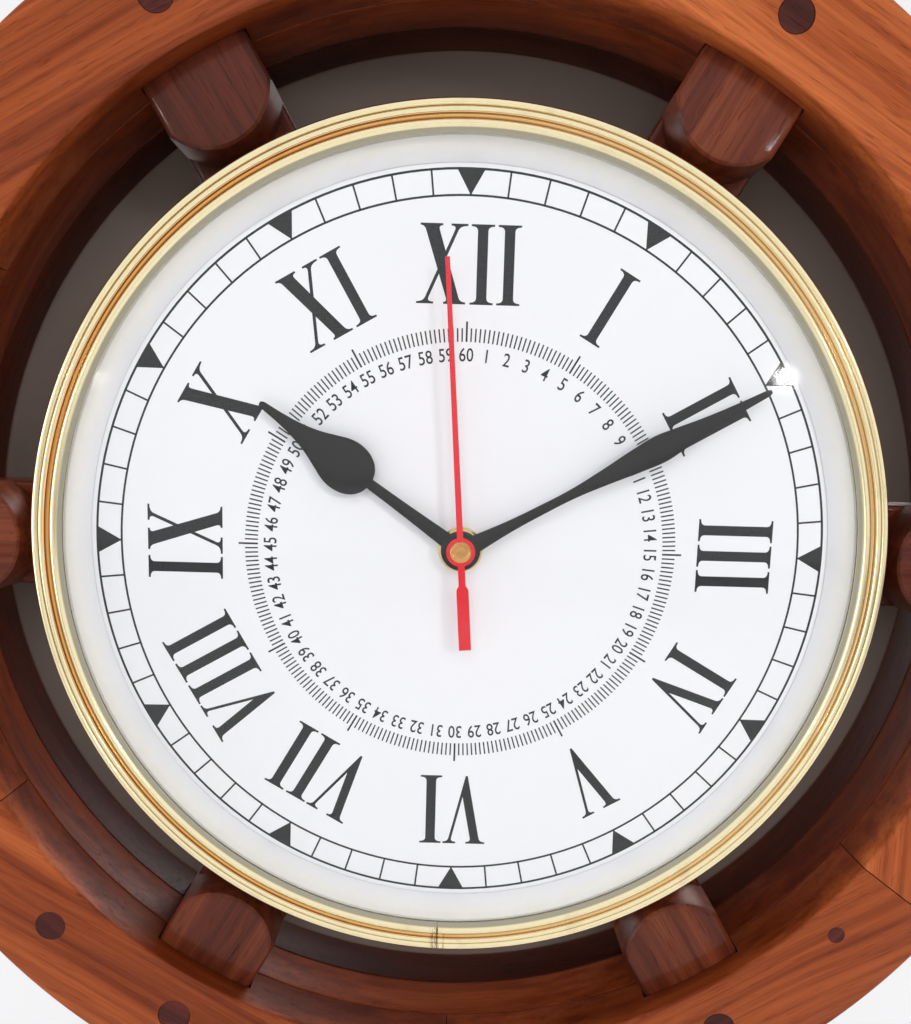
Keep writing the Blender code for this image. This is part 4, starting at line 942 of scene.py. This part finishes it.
# %% Join them and turn the six
SPOKE_TONES = (0.70, 0.50, 0.65, 0.55, 0.85, 0.15)
TENON_RADIUS = 6.0 * MM
cone_start = BLOCK_END - 2.75 * MM
corner = SPOKE_HALF * math.sqrt(2.0)
cone = [(0.0, hub_edge / 2), (corner * 1.1, hub_edge / 2), (corner * 1.1, cone_start)]
cone += swell(corner, SPOKE_HALF * 0.9, cone_start, BLOCK_END, 6) + [(0.0, BLOCK_END)]
tenon_end = hub_edge - 14 * MM
tenon_root = hub_edge + 7 * MM
stub = [(0.0, tenon_end), (TENON_RADIUS, tenon_end), (TENON_RADIUS, tenon_root), (0.0, tenon_root)]
tenon = along_spoke(stub, 32)
tenon.transform(at(depth=(SPOKE_BACK + TONGUE_FRONT) / 2 - spoke_middle))
spoke = combined(block_mesh, along_spoke(cone, HANDLE_STEPS), "INTERSECT")
for part in (tongue, handle, tenon):
    spoke = combined(spoke, part, "UNION")
spoke = combined(spoke, peg_room())
for number, (angle, tone) in enumerate(zip(SPOKE_ANGLES, SPOKE_TONES), start=1):
    copy = spoke.copy()
    add_grain(copy, 50 + number, tone, upright=True)
    piece("turned_spoke_%d" % number, copy, SPOKE_WOOD, node="spoke_%d" % number,
          angle=angle, smooth=28.0)
print("spokes made, %d faces each" % len(spoke.polygons))

# %% [markdown]
# ## Board, dial plate and reveal ring
# Behind the dial is a fibreboard disc. The dial is a thin printed disc on it, and a sloped white
# ring stands round its edge and keeps the glass off the hands. All three are profiles spun in many
# steps, so that their edges stay round close up.

# %% Discs and reveal ring
RING_STEPS = 192
BUSH_HOLE = 4.3 * MM


def disc(back, front, soft):
    profile = [(BUSH_HOLE, back), (DIAL_RADIUS - soft, back), (DIAL_RADIUS, back + soft),
               (DIAL_RADIUS, front - soft), (DIAL_RADIUS - soft, front), (BUSH_HOLE, front)]
    return spun(profile, RING_STEPS)


board_back, board_front = layer("dial_board")
piece("backing_board", disc(board_back, board_front, 0.4 * MM), BOARD, node="dial_board")
piece("dial", disc(DIAL_BACK, DIAL_FACE, 0.15 * MM), DIAL_WHITE, node="dial_plate")
ring_back, ring_front = layer("reveal_ring")
slope = [(DIAL_RADIUS, ring_back)] + measured([(0.0, 0.0), (-0.7, 0.0)], DIAL_RADIUS, ring_front)
slope += measured([(-5.4, 0.3), (-5.5, 0.0)], DIAL_RADIUS, ring_back)
piece("reveal", spun(slope, RING_STEPS), REVEAL, node="reveal_ring", smooth=30.0)
print("dial stack made")

# %% [markdown]
# ## The print on the dial
# Print could be an image, but then it would blur close up, so it is geometry a few hundredths of a
# millimetre thick. Lines and ticks are bars, rings are spun, and numerals are outlines.

# %% Rings, minute lines and hour triangles
INK_LIFT = 0.03 * MM
TRACK_OUTER = 100.0 * MM
TRACK_INNER = 93.35 * MM
TRACK_LINE = 0.55 * MM
WEDGE_HALF = 3.7 * MM
WEDGE_BASE = TRACK_OUTER * 0.9993
ink_back = DIAL_FACE - INK_LIFT
ink_front = DIAL_FACE + INK_LIFT
unit_bar = boxed(at())


def ink_ring(radius, width):
    inner = radius - width / 2
    outer = radius + width / 2
    return spun([(inner, ink_back), (outer, ink_back), (outer, ink_front), (inner, ink_front)], RING_STEPS)


def ink_bar(inner, outer, width, angle):
    place = block(width, ink_front - ink_back, outer - inner, DIAL_FACE, (inner + outer) / 2, angle)
    return (unit_bar, place)


track = [(ink_ring(TRACK_OUTER, TRACK_LINE * 1.1), at()), (ink_ring(TRACK_INNER, TRACK_LINE), at())]
for minute in range(60):
    track.append(ink_bar(TRACK_INNER, TRACK_OUTER, TRACK_LINE * 0.9, 6.0 * minute))
wedge_outline = [(-WEDGE_HALF, WEDGE_BASE), (WEDGE_HALF, WEDGE_BASE), (0.0, TRACK_INNER)]
wedge = flat_piece([wedge_outline], ink_back, ink_front + INK_LIFT / 4)
for hour in range(12):
    track.append((wedge, turned(30.0 * hour)))
piece("minute_track", gathered(track), INK, smooth=0.0)
print("minute track made")

# %% Seconds ticks
TICK_INNER = 55.9 * MM
TICK_OUTER = 59.45 * MM
TICK_WIDTH = 0.38 * MM
LONG_TICK_OUTER = 61.2 * MM
LONG_TICK_WIDTH = 0.5 * MM
TICKS_PER_SECOND = 5
ticks = []
for tick in range(60 * TICKS_PER_SECOND):
    is_long = tick % (5 * TICKS_PER_SECOND) == 0
    outer = LONG_TICK_OUTER if is_long else TICK_OUTER
    width = LONG_TICK_WIDTH if is_long else TICK_WIDTH
    ticks.append(ink_bar(TICK_INNER, outer, width, 360.0 / 60 / TICKS_PER_SECOND * tick))
piece("seconds_ticks", gathered(ticks), INK, smooth=0.0)
print("ticks made:", len(ticks))

# %% [markdown]
# ## Roman numerals
# A Roman numeral has thick and thin strokes that end in hairline serifs, with a small hollow curve
# between them. A stroke's edge is a straight line, so a letter is described by its edges' places
# at its foot and its head, and the crossings are worked out. The curve into a serif is a
# quadratic one. Each letter becomes one outline.

# %% A letter's edges and serifs
LETTER_HEIGHT = 20.5 * MM
SERIF = 0.5 * MM
BRACKET = 1.7 * MM


def edge_at(edge, height):
    """Where a stroke's edge is at a height, from its places at foot and head in millimetres."""
    foot, head = edge
    return (foot + (head - foot) * height / LETTER_HEIGHT) * MM


def crossing(first, second):
    share = (second[0] - first[0]) / ((first[1] - first[0]) - (second[1] - second[0]))
    height = share * LETTER_HEIGHT
    return (edge_at(first, height), height)


def serif_side(edge, tip, at_head):
    """From a stroke's edge out to the end of its serif."""
    start = LETTER_HEIGHT - BRACKET if at_head else BRACKET
    under = LETTER_HEIGHT - SERIF if at_head else SERIF
    level = LETTER_HEIGHT if at_head else 0.0
    stem = Vector((edge_at(edge, start), start))
    hold = Vector((edge_at(edge, under), under))
    point = Vector((tip * MM, under))
    curve = [stem.lerp(hold, t / 5).lerp(hold.lerp(point, t / 5), t / 5) for t in range(6)]
    return [tuple(place) for place in curve] + [(tip * MM, level)]


def head(left, right, low, high):
    return serif_side(left, low, True) + serif_side(right, high, True)[::-1]


def foot(left, right, low, high):
    return serif_side(right, high, False) + serif_side(left, low, False)[::-1]


print("serifs ready")

# %% The three letters
I_LEFT, I_RIGHT = (1.77, 1.77), (4.63, 4.63)
V_THICK_LEFT, V_THICK_RIGHT = (5.6, 1.45), (8.25, 4.1)
V_THIN_LEFT, V_THIN_RIGHT = (5.4, 10.5), (6.2, 11.3)
X_THICK_LEFT, X_THICK_RIGHT = (8.74, 1.77), (12.24, 5.57)
X_THIN_LEFT, X_THIN_RIGHT = (1.67, 11.02), (2.62, 12.02)
I_WIDTH, V_WIDTH, X_WIDTH = 6.4, 12.65, 13.89


def letter_i():
    return head(I_LEFT, I_RIGHT, 0.0, I_WIDTH) + foot(I_LEFT, I_RIGHT, 0.0, I_WIDTH)


def letter_v():
    outline = head(V_THICK_LEFT, V_THICK_RIGHT, 0.0, 5.7)
    outline.append(crossing(V_THICK_RIGHT, V_THIN_LEFT))
    outline += head(V_THIN_LEFT, V_THIN_RIGHT, 8.8, V_WIDTH)
    return outline + [(V_THIN_RIGHT[0] * MM, 0.0), (V_THICK_LEFT[0] * MM, 0.0)]


def letter_x():
    outline = head(X_THICK_LEFT, X_THICK_RIGHT, 0.82, 6.99)
    outline.append(crossing(X_THICK_RIGHT, X_THIN_LEFT))
    outline += head(X_THIN_LEFT, X_THIN_RIGHT, 9.26, X_WIDTH)
    outline.append(crossing(X_THICK_RIGHT, X_THIN_RIGHT))
    outline += foot(X_THICK_LEFT, X_THICK_RIGHT, 7.51, 13.58)
    outline.append(crossing(X_THICK_LEFT, X_THIN_RIGHT))
    outline += foot(X_THIN_LEFT, X_THIN_RIGHT, 0.0, 4.73)
    return outline + [crossing(X_THICK_LEFT, X_THIN_LEFT)]


LETTERS = {"I": (letter_i(), I_WIDTH), "V": (letter_v(), V_WIDTH), "X": (letter_x(), X_WIDTH)}
for letter, (outline, width) in LETTERS.items():
    print(letter, len(outline), "points", width, "mm wide")

# %% Set the twelve numerals
NUMERALS = ("XII", "I", "II", "III", "IV", "V", "VI", "VII", "VIII", "IX", "X", "XI")
LETTER_SPACE = {"VI": 0.6, "IV": 0.6, "IX": 0.9, "XI": 0.9}
NUMERAL_FOOT = 65.6 * MM
NUMERAL_NARROWING = 0.96


def numeral_mesh(text):
    end = 0.0
    letters = []
    for index, letter in enumerate(text):
        outline, width = LETTERS[letter]
        if index:
            end += LETTER_SPACE.get(text[index - 1:index + 1], 1.0)
        letters.append((outline, end))
        end += width
    shapes = []
    for outline, start in letters:
        left = (start - end / 2) * MM
        moved = [((x + left) * NUMERAL_NARROWING, z + NUMERAL_FOOT) for x, z in outline]
        shapes.append((flat_piece([moved], ink_back, ink_front), at()))
    return gathered(shapes)


numerals = [(numeral_mesh(text), turned(30.0 * hour)) for hour, text in enumerate(NUMERALS)]
piece("hour_numerals", gathered(numerals), INK, smooth=0.0)
print("numerals set:", " ".join(NUMERALS))

# %% [markdown]
# ## Seconds numbers
# Inside the ticks run the numbers 1 to 60, each turned so that its top points outwards. They are
# text objects in Blender's own font, made a mesh before they are turned to their places. One digit
# is measured first, so that the size gives the real height.

# %% Numbers 1 to 60
NUMBER_HEIGHT = 3.6 * MM
NUMBER_FOOT = 50.8 * MM
NUMBER_NARROWING = 0.8
NUMBER_BOLDNESS = 0.006


def text_mesh(text, size):
    curve = bpy.data.curves.new("number", "FONT")
    curve.body = text
    curve.size = size
    curve.align_x = "CENTER"
    curve.resolution_u = 3
    curve.offset = size * NUMBER_BOLDNESS
    curve.extrude = (ink_front - ink_back) / 2
    mesh = as_mesh(placed("number", curve))
    mesh.transform(at(0.0, DIAL_FACE, NUMBER_FOOT) @ turned(90.0, "X") @ sized(NUMBER_NARROWING, 1.0, 1.0))
    return mesh


heights = [vertex.co.z for vertex in text_mesh("8", 1.0).vertices]
number_size = NUMBER_HEIGHT / (max(heights) - min(heights))
numbers = [(text_mesh(str(second), number_size), turned(6.0 * second)) for second in range(1, 61)]
piece("seconds_numbers", welded(gathered(numbers)), INK, smooth=0.0)
print("number size %.2f mm" % (number_size / MM))

# %% [markdown]
# ## Bezel and glass
# The bezel is the brass ring that holds the glass. Its moulding is two beads, a cove, an inner bead
# and a thin lip, and a skirt behind them grips the dial's board. All of it is one closed profile,
# spun once. The glass is a shallow dome, part of a sphere, two millimetres thick.

# %% Bezel
SKIRT_INNER = DIAL_RADIUS + GAP
SKIRT_OUTER = SKIRT_INNER + 1.1 * MM
LIP_RADIUS = DIAL_RADIUS - 1.1 * MM
GLASS_THICKNESS = 2.0 * MM
glass_back = layer("glass")[0]
lip_back = glass_back + GLASS_THICKNESS + 0.4 * MM


def bead(inset, drop, radius, start, end, steps):
    """A rounded moulding in millimetres: 0 degrees points forward and 90 outward."""
    centre = (BEZEL_RADIUS - inset * MM, lip_back - drop * MM)
    return arc(radius * MM, start, end, steps, centre)


def moulding():
    """From the skirt's back round the outer bead, second bead, cove, inner bead and thin lip."""
    profile = [(SKIRT_OUTER, board_back), (SKIRT_OUTER, lip_back - 5.2 * MM)]
    profile += measured([(-2.6, -3.4)], BEZEL_RADIUS, lip_back)
    profile += bead(1.05, 1.8, 1.05, 125.0, -38.0, 16)
    profile += measured([(-2.15, -1.35)], BEZEL_RADIUS, lip_back)
    profile += bead(3.1, 0.8, 0.75, 95.0, -65.0, 12)
    profile += bead(4.7, 0.42, 0.78, 95.0, 265.0, 12)
    profile += bead(6.6, 0.2, 0.95, 80.0, -50.0, 12)
    profile += measured([(-7.7, 0.25)], BEZEL_RADIUS, lip_back)
    profile += measured([(0.1, 0.1), (0.0, 0.0)], LIP_RADIUS, lip_back)
    return profile + [(SKIRT_INNER, lip_back), (SKIRT_INNER, board_back)]


bezel_profile = moulding()
piece("bezel_ring", spun(bezel_profile, 256), BEZEL_BRASS, node="bezel", smooth=40.0)
print("bezel profile points:", len(bezel_profile))

# %% Glass dome
GLASS_RISE = 5.0 * MM
DOME_RINGS = 24
sphere = (DIAL_RADIUS ** 2 + GLASS_RISE ** 2) / (2 * GLASS_RISE)
under = []
for ring in range(DOME_RINGS + 1):
    radius = DIAL_RADIUS * ring / DOME_RINGS
    under.append((radius, glass_back + GLASS_RISE - sphere + math.sqrt(sphere ** 2 - radius ** 2)))
over = [(radius, depth + GLASS_THICKNESS) for radius, depth in reversed(under)]
piece("glass_dome", spun(under + over, RING_STEPS, closed=False), CLEAR_GLASS, node="glass")
print("glass rises %.1f mm" % (GLASS_RISE / MM))

# %% [markdown]
# ## The hands
# The hour hand is a spade: a thin stem, a pear and a long fine point. The minute hand is a leaf. A
# hand's outline is half widths at distances from the axis, mirrored, with a round boss at its root.
# Bezier points with automatic handles draw the curves through a few of these, and points marked as
# corners stay sharp. A thin bevel rounds the stamped edge.

# %% Hour and minute hands
HOUR_ANGLE = 305.0
MINUTE_ANGLE = 61.0
SECOND_ANGLE = 355.8
HOUR_SIDE = ((5.0, 2.1, "corner"), (20.0, 1.6), (30.4, 1.4, "corner"), (31.3, 3.6), (33.6, 5.8),
             (37.2, 7.0), (41.0, 6.8), (45.0, 5.3), (49.5, 3.5), (54.0, 2.3), (59.0, 1.5),
             (65.6, 0.95, "corner"))
MINUTE_SIDE = ((4.6, 2.4, "corner"), (14.0, 1.6), (24.0, 1.3), (34.0, 1.35), (44.0, 2.2), (53.0, 3.2),
               (60.0, 3.7), (65.5, 3.1), (73.5, 2.1), (82.5, 1.35), (91.6, 0.85, "corner"))


def mirrored(right):
    return [(-point[0], *point[1:]) for point in reversed(right)]


def hand(name, node, boss, bore, side, tip, angle, body):
    """A black hand, with its boss, bore and tip in millimetres."""
    right = [(half * MM, distance * MM, *mark) for distance, half, *mark in side]
    root = degrees(right[0][0], boss * MM)
    around = arc(boss * MM, -root, root - 360.0, 20)[1:-1]
    end = [(right[-1][0] * 0.5, tip * MM, "corner")]
    hole = arc(bore * MM, 0.0, 345.0, 23)
    outline = right + end + mirrored(end) + mirrored(right) + around
    mesh = flat_piece([outline, hole], *layer(node), 0.1 * MM, smooth=True)
    piece(name, mesh, BLACK_PAINT, body, node, angle, smooth=50.0)


hand("hour_spade", "hour_hand", 5.4, 2.6, HOUR_SIDE, 66.5, HOUR_ANGLE, "hours")
hand("minute_leaf", "minute_hand", 5.2, 1.65, MINUTE_SIDE, 92.5, MINUTE_ANGLE, "minutes")
print("hands made")

# %% Seconds hand and its cap
SECOND_HUB = 3.9 * MM
SECOND_LENGTH = 76.5 * MM
BLADE = 0.85 * MM
NECK = 0.95 * MM
TAIL = ((0.95, -9.2), (1.5675, -10.2), (1.65, -11.0), (1.65, -27.0))
CAP_RIM = ((0.0, 0.0), (2.9, 0.0), (2.9, 0.5))
CAP_CROWN = ((2.0, 0.62), (1.2, 0.7), (0.0, 0.74))
second_back, second_front = layer("second_hand")
right = [(BLADE * 0.72, SECOND_LENGTH)]
right += arc(SECOND_HUB, degrees(BLADE, SECOND_HUB), 180.0 - degrees(NECK, SECOND_HUB), 30)
right += measured(TAIL)
hole = arc(0.55 * MM, 0.0, 330.0, 11)
needle = flat_piece([right + mirrored(right), hole], second_back, second_front, 0.08 * MM)
piece("seconds_needle", needle, RED_PAINT, "seconds", "second_hand", SECOND_ANGLE)
cap_foot = second_front - 0.1 * MM
cap = measured(CAP_RIM, depth=cap_foot)
cap += arc(0.35 * MM, 80.0, -50.0, 8, (2.55 * MM, cap_foot + 0.5 * MM))
cap += measured(CAP_CROWN, depth=cap_foot)
piece("seconds_cap", spun(cap, 64, closed=False), CAP_BRASS, "seconds", angle=SECOND_ANGLE)
print("seconds hand made")

# %% [markdown]
# ## The hand nut
# A thin brass nut on the movement's bush holds the dial, and it shows as a pale ring round the
# bosses. It is spun, with a flange below and a bevel above, and two small flats for the spanner.

# %% Nut
NUT_FLANGE = ((4.1, 0.0), (6.2, 0.0), (6.2, 0.65), (6.05, 0.8), (5.6, 0.8))
NUT_TOP = ((5.6, -0.3), (5.3, 0.0), (4.1, 0.0))
nut_back, nut_front = layer("hand_nut")
flange = nut_back + 0.8 * MM
nut = spun(measured(NUT_FLANGE, depth=nut_back) + measured(NUT_TOP, depth=nut_front), 96)
for side in (-7.25, 7.25):
    flat = at(side * MM, nut_front) @ sized(4.0 * MM, 2 * (nut_front - flange), 14.0 * MM)
    nut = combined(nut, boxed(flat))
piece("bush_nut", nut, PLAIN_BRASS, node="hand_nut", angle=20.0)
print("nut made")

# %% [markdown]
# ## The back of the clock
# Taken off its nail, the clock shows its movement: a setting knob with a knurled edge, an AA cell in
# its bay, and a brass keyhole plate with two screws. The knob's edge is an outline that goes in and
# out. The cell is turned, with the crimped ends that a real one has, and carries a plain sleeve.

# %% Setting knob
KNOB_RIDGES = 30
KNOB_REACH = (7.0 * MM, 6.65 * MM)
KNOB_DISH = ((0.0, -1.0), (4.6, -1.0), (4.4, 0.7), (0.0, 0.9))


def box_middle(node):
    """The middle of a node's box, seen from the clock's axis."""
    low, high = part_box(node)
    return (low + high) / 2 - AXIS


knob_middle = box_middle("setting_knob")
knob_back, knob_front = layer("setting_knob")
knurl = []
for step in range(KNOB_RIDGES * 4):
    reach = KNOB_REACH[step % 4 // 2]
    turn = math.tau * step / (KNOB_RIDGES * 4)
    knurl.append((knob_middle.x + reach * math.sin(turn), knob_middle.z + reach * math.cos(turn)))
knob = flat_piece([knurl], knob_back, knob_front, 0.25 * MM)
dish = spun(measured(KNOB_DISH, depth=knob_back), 48, closed=False)
dish.transform(at(knob_middle.x, 0.0, knob_middle.z))
knob = combined(knob, dish)
piece("knurled_knob", knob, CASE_PLASTIC, "setting", "setting_knob", smooth=25.0)
print("knob made with", KNOB_RIDGES, "ridges")

# %% Battery
CRIMP = 0.35
TIP_RADIUS = 2.7
battery_low, battery_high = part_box("battery")
cell_half = (battery_high.x - battery_low.x) / 2
cell_radius = (battery_high.z - battery_low.z) / 2


def cell_profile():
    """The minus end, the wall up to the shoulder, and the plus tip."""
    shoulder = cell_half - 1.0 * MM
    minus_end = [(-1.4, 0.0), (-1.2, CRIMP), (-CRIMP, CRIMP), (0.0, 2 * CRIMP)]
    wall_end = [(0.0, -2 * CRIMP), (-CRIMP, -CRIMP), (-1.2, 0.0)]
    tip = [(TIP_RADIUS, -CRIMP), (TIP_RADIUS - CRIMP, 0.0), (0.0, 0.0)]
    profile = [(0.0, -cell_half)] + measured(minus_end, cell_radius, -cell_half)
    profile += measured(wall_end, cell_radius, shoulder) + measured(tip[:1], depth=shoulder)
    return profile + measured(tip, depth=cell_half)


cell = spun(cell_profile(), 64, closed=False)
cell.transform(Matrix.Translation(box_middle("battery")) @ turned(90.0, "Z"))
piece("aa_cell", welded(cell), SLEEVE, node="battery", smooth=30.0)
print("cell %.1f mm long" % (2 * cell_half / MM))

# %% Hanger plate and its screws
SCREW_X = PLATE_WIDTH / 2 - 5.5 * MM
SCREW_HOLE = 3.1 * MM
SCREW = ((0.0, 0.0), (2.8, 0.0), (3.0, 0.15), (1.4, 1.5), (1.4, 8.8), (0.0, 11.0))
SCREWS = (("right_screw", SCREW_X, 35.0, "hanger_screw"), ("left_screw", -SCREW_X, -70.0, None))


def keyhole():
    half = KEYHOLE_SLOT / 2
    turn = degrees(half, KEYHOLE_RADIUS)
    top = arc(half, -90.0, 90.0, 12, (0.0, KEYHOLE_TOP - half))
    return top + arc(KEYHOLE_RADIUS, turn, 360.0 - turn, 28, (0.0, KEYHOLE_MOUTH))


screw_holes = [arc(SCREW_HOLE, 0.0, 345.0, 23, (side, RIM_MIDDLE)) for side in (-SCREW_X, SCREW_X)]
plate = flat_piece([plate_outline(), keyhole()] + screw_holes, 0.0, PLATE_THICKNESS, 0.2 * MM)
piece("keyhole_plate", plate, PLAIN_BRASS, node="hanger_plate")
screw = combined(spun(measured(SCREW), 32, closed=False), boxed(sized(0.9 * MM, 1.3 * MM, 8.0 * MM)))
for name, side, turn, node in SCREWS:
    copy = screw.copy()
    copy.transform(at(side, 0.0, RIM_MIDDLE) @ turned(turn))
    piece(name, copy, BRIGHT_STEEL, node=node)
print("hanger made")

# %% [markdown]
# ## Wall, floor and world
# The clock hangs a hair in front of a plain wall. Close behind it the wall is painted a dim brown
# grey as painted shadow, and away from it the wall is white to the camera. Seen from behind, the
# wall isn't there, so that the back of the clock can be looked at, and lamps shine through it for
# the same reason. The world is white to the camera and a soft even light to everything else, and
# brighter in reflections.

# %% Wall and floor
PAINTED_WALL_SHADOW_BLEND = (176.0 * MM, 205.0 * MM)
WALL_GLOW = (0.93, 0.93, 0.945, 1.0)
WALL_Y = 0.6 * MM
FLOOR_DROP = 0.16
SHEET_SIZE = 6.0


def wall_finish():
    net = Finish("wall")
    # Painted shadow: dim brown grey close behind the wheel, white further out.
    away = net.between(net.radius(), *PAINTED_WALL_SHADOW_BLEND)
    plain = net.node("BsdfDiffuse", net.blend(away, tint(119, 107, 101), tint(240, 240, 242)))
    glow = net.node("Emission", Color=WALL_GLOW, Strength=1.0)
    seen = net.ray("Camera") + net.ray("Glossy") + net.ray("Transmission")
    lit = net.node("MixShader", seen * away * 0.8, plain, glow)
    through = net.node("NewGeometry", output="Backfacing") + net.ray("Shadow")
    return net.show(net.node("MixShader", through, lit, net.node("BsdfTransparent")))


def floor_finish():
    net = Finish("floor", Roughness=0.8)
    return net.wear(Base_Color=net.blend(net.noise(40.0, 3.0), tint(228, 227, 224), tint(236, 235, 232)))


def stage_sheet(name, matrix, material):
    work = bmesh.new()
    bmesh.ops.create_grid(work, x_segments=1, y_segments=1, size=SHEET_SIZE / 2, matrix=matrix)
    mesh = to_mesh(work, name)
    mesh.materials.append(material)
    placed(name, mesh)


stage_sheet("wall", at(0.0, -WALL_Y, AXIS.z) @ turned(90.0, "X"), wall_finish())
stage_sheet("floor", at(z=cad_box[0].z - FLOOR_DROP), floor_finish())
print("wall and floor set")

# %% World
AMBIENT = 0.39
SEEN_IN_GLOSS = 0.9
world = bpy.data.worlds.new("soft_world")
bpy.context.scene.world = world
world.use_nodes = True
net = Net(world.node_tree)
mirrors = net.maths("MAXIMUM", net.ray("Glossy"), net.ray("Transmission"))
light = net.node("MapRange", mirrors, To_Min=AMBIENT, To_Max=SEEN_IN_GLOSS)
strength = net.maths("MAXIMUM", light, net.ray("Camera"))
net.feed(net.tree.nodes["Background"], {"Color": (1.0, 1.0, 1.0, 1.0), "Strength": strength})
print("world set")

# %% [markdown]
# ## Lamps
# The photograph's light is broad and frontal, with one brighter lamp from the right that leaves
# faint soft shadows of the hands. Round area lamps give that. The two large ones in front would
# veil the wood and the glass with their reflections, so they are hidden from glossy rays, and two
# tiny lamps leave the glints instead. A lamp's power for a white surface grows with the square of
# its distance, so a function works it out from the share of full light that the lamp should give.

# %% Area lamps
PLAIN_LIGHT = (1.0, 1.0, 1.0)
WARM_LIGHT = (1.0, 0.985, 0.96)
COOL_LIGHT = (0.96, 0.98, 1.0)
LAMPS = (
    ("front_softbox", (0.0, -1.7, 0.62), 1.5, 0.37, PLAIN_LIGHT, False),
    ("key_right", (0.82, -1.33, 0.40), 0.30, 0.12, WARM_LIGHT, False),
    ("spark_right", (0.82, -1.33, 0.28), 0.05, 0.012, PLAIN_LIGHT, True),
    ("spark_left", (-0.90, -1.29, 0.235), 0.03, 0.008, PLAIN_LIGHT, True),
    ("fill_left", (-1.5, -1.0, -0.2), 1.2, 0.10, COOL_LIGHT, True),
    ("rear_high", (0.9, 1.4, 1.0), 0.9, 0.36, PLAIN_LIGHT, True),
    ("rear_low", (-1.2, 1.3, -0.2), 0.9, 0.24, PLAIN_LIGHT, True),
)


def lamp(name, place, size, share, colour, glossy):
    """A round lamp that faces the dial and gives it a share of full light."""
    light = bpy.data.lights.new(name, "AREA")
    light.shape = "DISK"
    light.size = size
    light.color = colour
    place = Vector((place[0], place[1], AXIS.z + place[2]))
    way = AXIS + Vector((0.0, -DIAL_FACE, 0.0)) - place
    light.energy = share * math.pi ** 2 * way.length ** 2 / abs(way.normalized().y)
    holder = placed(name, light)
    holder.location = place
    holder.rotation_euler = way.to_track_quat("-Z", "Y").to_euler()
    holder.visible_glossy = glossy


for settings in LAMPS:
    lamp(*settings)
print("lamps set:", len(LAMPS))

# %% [markdown]
# ## Camera
# The photograph was taken with a phone held close to the dial, a little above its middle and tipped
# down, which is why the rim looks wider below. The lens and place come from fitting the dial's
# circles, and the small shift keeps the picture's middle where the phone had it.

# %% Camera
PICTURE_HEIGHT = 1024
FOCAL_PIXELS = 841.0
CENTRE_DROP = 45.0
CAMERA_PLACE = Vector((-0.0033, -0.2642, 0.0292))
YAW, TILT_DOWN, ROLL = -0.5, 7.76, 1.65
camera_data = bpy.data.cameras.new("camera")
camera_data.sensor_fit = "AUTO"
camera_data.sensor_width = 36.0
camera_data.lens = FOCAL_PIXELS * camera_data.sensor_width / PICTURE_HEIGHT
camera_data.shift_y = CENTRE_DROP / PICTURE_HEIGHT
camera_data.clip_start = 0.01
camera = placed("camera", camera_data)
aim = turned(YAW, "Z") @ turned(90.0 - TILT_DOWN, "X") @ turned(ROLL, "Z")
camera.matrix_world = Matrix.Translation(AXIS + CAMERA_PLACE) @ aim
bpy.context.scene.camera = camera
bpy.context.scene.view_settings.view_transform = "Standard"
print("camera %.1f mm lens" % camera_data.lens)
